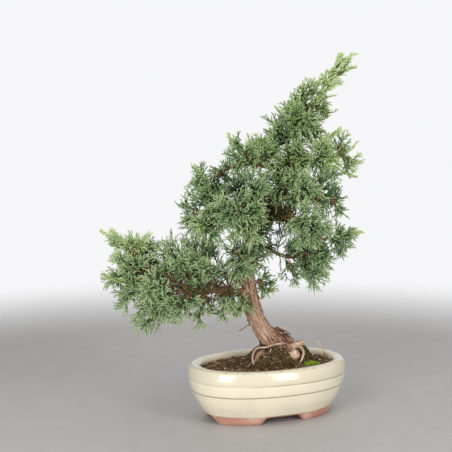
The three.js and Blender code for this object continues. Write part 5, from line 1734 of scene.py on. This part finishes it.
class BONSAI_OT_soil(bpy.types.Operator):
    """Make the soil with its crumbs, bark chips and pumice"""

    bl_idname, bl_label = "bonsai.soil", "Soil"

    def execute(self, context):
        soil = context.scene.bonsai.soil
        finish_piece(soil_bed(), soil_finish(soil), "soil", "soil")
        for shape, looks in (
                (("soil_crumbs", soil.crumbs, (0.5, soil.crumb_size / MM), 21, 0.7),
                 ("brown_crumbs", srgb(56, 38, 24), srgb(132, 102, 72), 0.4)),
                (("bark_chips", soil.chips, (0.9, 3.0), 24, 0.4),
                 ("tan_bark_chips", srgb(92, 64, 42), srgb(172, 138, 102), 0.4)),
                (("pumice_grains", PUMICE_GRAINS, (0.8, 2.0), 22, 0.7),
                 ("white_pumice", srgb(176, 160, 138), srgb(236, 230, 220), 0.2))):
            finish_piece(grains(*shape), crumb_finish(*looks), "soil")
        return {"FINISHED"}


class BONSAI_OT_wood(bpy.types.Operator):
    """Make the trunk, limbs, roots and root fibres"""

    bl_idname, bl_label = "bonsai.wood", "Trunk, limbs and roots"

    def execute(self, context):
        wood = context.scene.bonsai.wood
        finish_piece(trunk_and_limbs(wood), bark_finish(wood), "bark", "wood")
        finish_piece(root_fibres(wood), fibre_finish(), "bark")
        return {"FINISHED"}


class BONSAI_OT_moss(bpy.types.Operator):
    """Make the moss and the straw"""

    bl_idname, bl_label = "bonsai.moss", "Moss and straw"

    def execute(self, context):
        soil = context.scene.bonsai.soil
        finish_piece(moss_cushion(soil), moss_finish("bright_moss", soil.bright_moss), "moss",
                     "moss")
        finish_piece(old_moss(), moss_finish("dull_moss", soil.dull_moss), "moss")
        finish_piece(dry_straw(), straw_finish(), "straw", "straw")
        return {"FINISHED"}


class BONSAI_OT_foliage(bpy.types.Operator):
    """Make the fine sprays of every shoot, the long tips and the inner twigs"""

    bl_idname, bl_label = "bonsai.foliage", "Foliage"

    def execute(self, context):
        foliage = context.scene.bonsai.foliage
        material = leaf_finish(foliage)
        wood_points, _ = welded(frame["nodes"]["wood"].data)
        names = sorted(name for name in frame["nodes"] if name.startswith("foliage_"))
        for order, name in enumerate(names):
            piece = foliage_piece(foliage, name, order, wood_points)
            finish_piece(piece, material, "leaf", name)
        finish_piece(loose_sprays(foliage), material, "leaf")
        finish_piece(leading_tips(foliage), material, "leaf")
        finish_piece(inner_twigs(), material, "leaf")
        return {"FINISHED"}


class BONSAI_OT_stage(bpy.types.Operator):
    """Make the floor, the light and the camera"""

    bl_idname, bl_label = "bonsai.stage", "Floor, light and camera"

    def execute(self, context):
        stage = context.scene.bonsai.stage
        stage_floor(stage)
        stage_light(stage)
        stage_camera()
        return {"FINISHED"}


OPERATORS = (BONSAI_OT_pot, BONSAI_OT_soil, BONSAI_OT_wood, BONSAI_OT_moss, BONSAI_OT_foliage,
             BONSAI_OT_stage)


class BONSAI_PT_panel(bpy.types.Panel):
    """Pieces of the bonsai"""

    bl_label, bl_idname = "Bonsai", "BONSAI_PT_panel"
    bl_space_type, bl_region_type, bl_category = "VIEW_3D", "UI", "Bonsai"

    def draw(self, context):
        for operator in OPERATORS:
            self.layout.operator(operator.bl_idname)
        for part in ("pot", "soil", "wood", "foliage", "stage"):
            group = getattr(context.scene.bonsai, part)
            box = self.layout.box()
            box.label(text=part.title())
            for label in group.bl_rna.properties.keys():
                if label not in {"rna_type", "name"}:
                    box.prop(group, label)


def register():
    for made in (*SETTINGS, *OPERATORS, BONSAI_PT_panel):
        bpy.utils.register_class(made)
    bpy.types.Scene.bonsai = bpy.props.PointerProperty(type=BonsaiSettings)


def unregister():
    del bpy.types.Scene.bonsai
    for made in reversed((*SETTINGS, *OPERATORS, BONSAI_PT_panel)):
        bpy.utils.unregister_class(made)


def main():
    register()
    for operator in OPERATORS:
        group, action = operator.bl_idname.split(".")
        getattr(getattr(bpy.ops, group), action)()


if __name__ == "__main__":
    main()
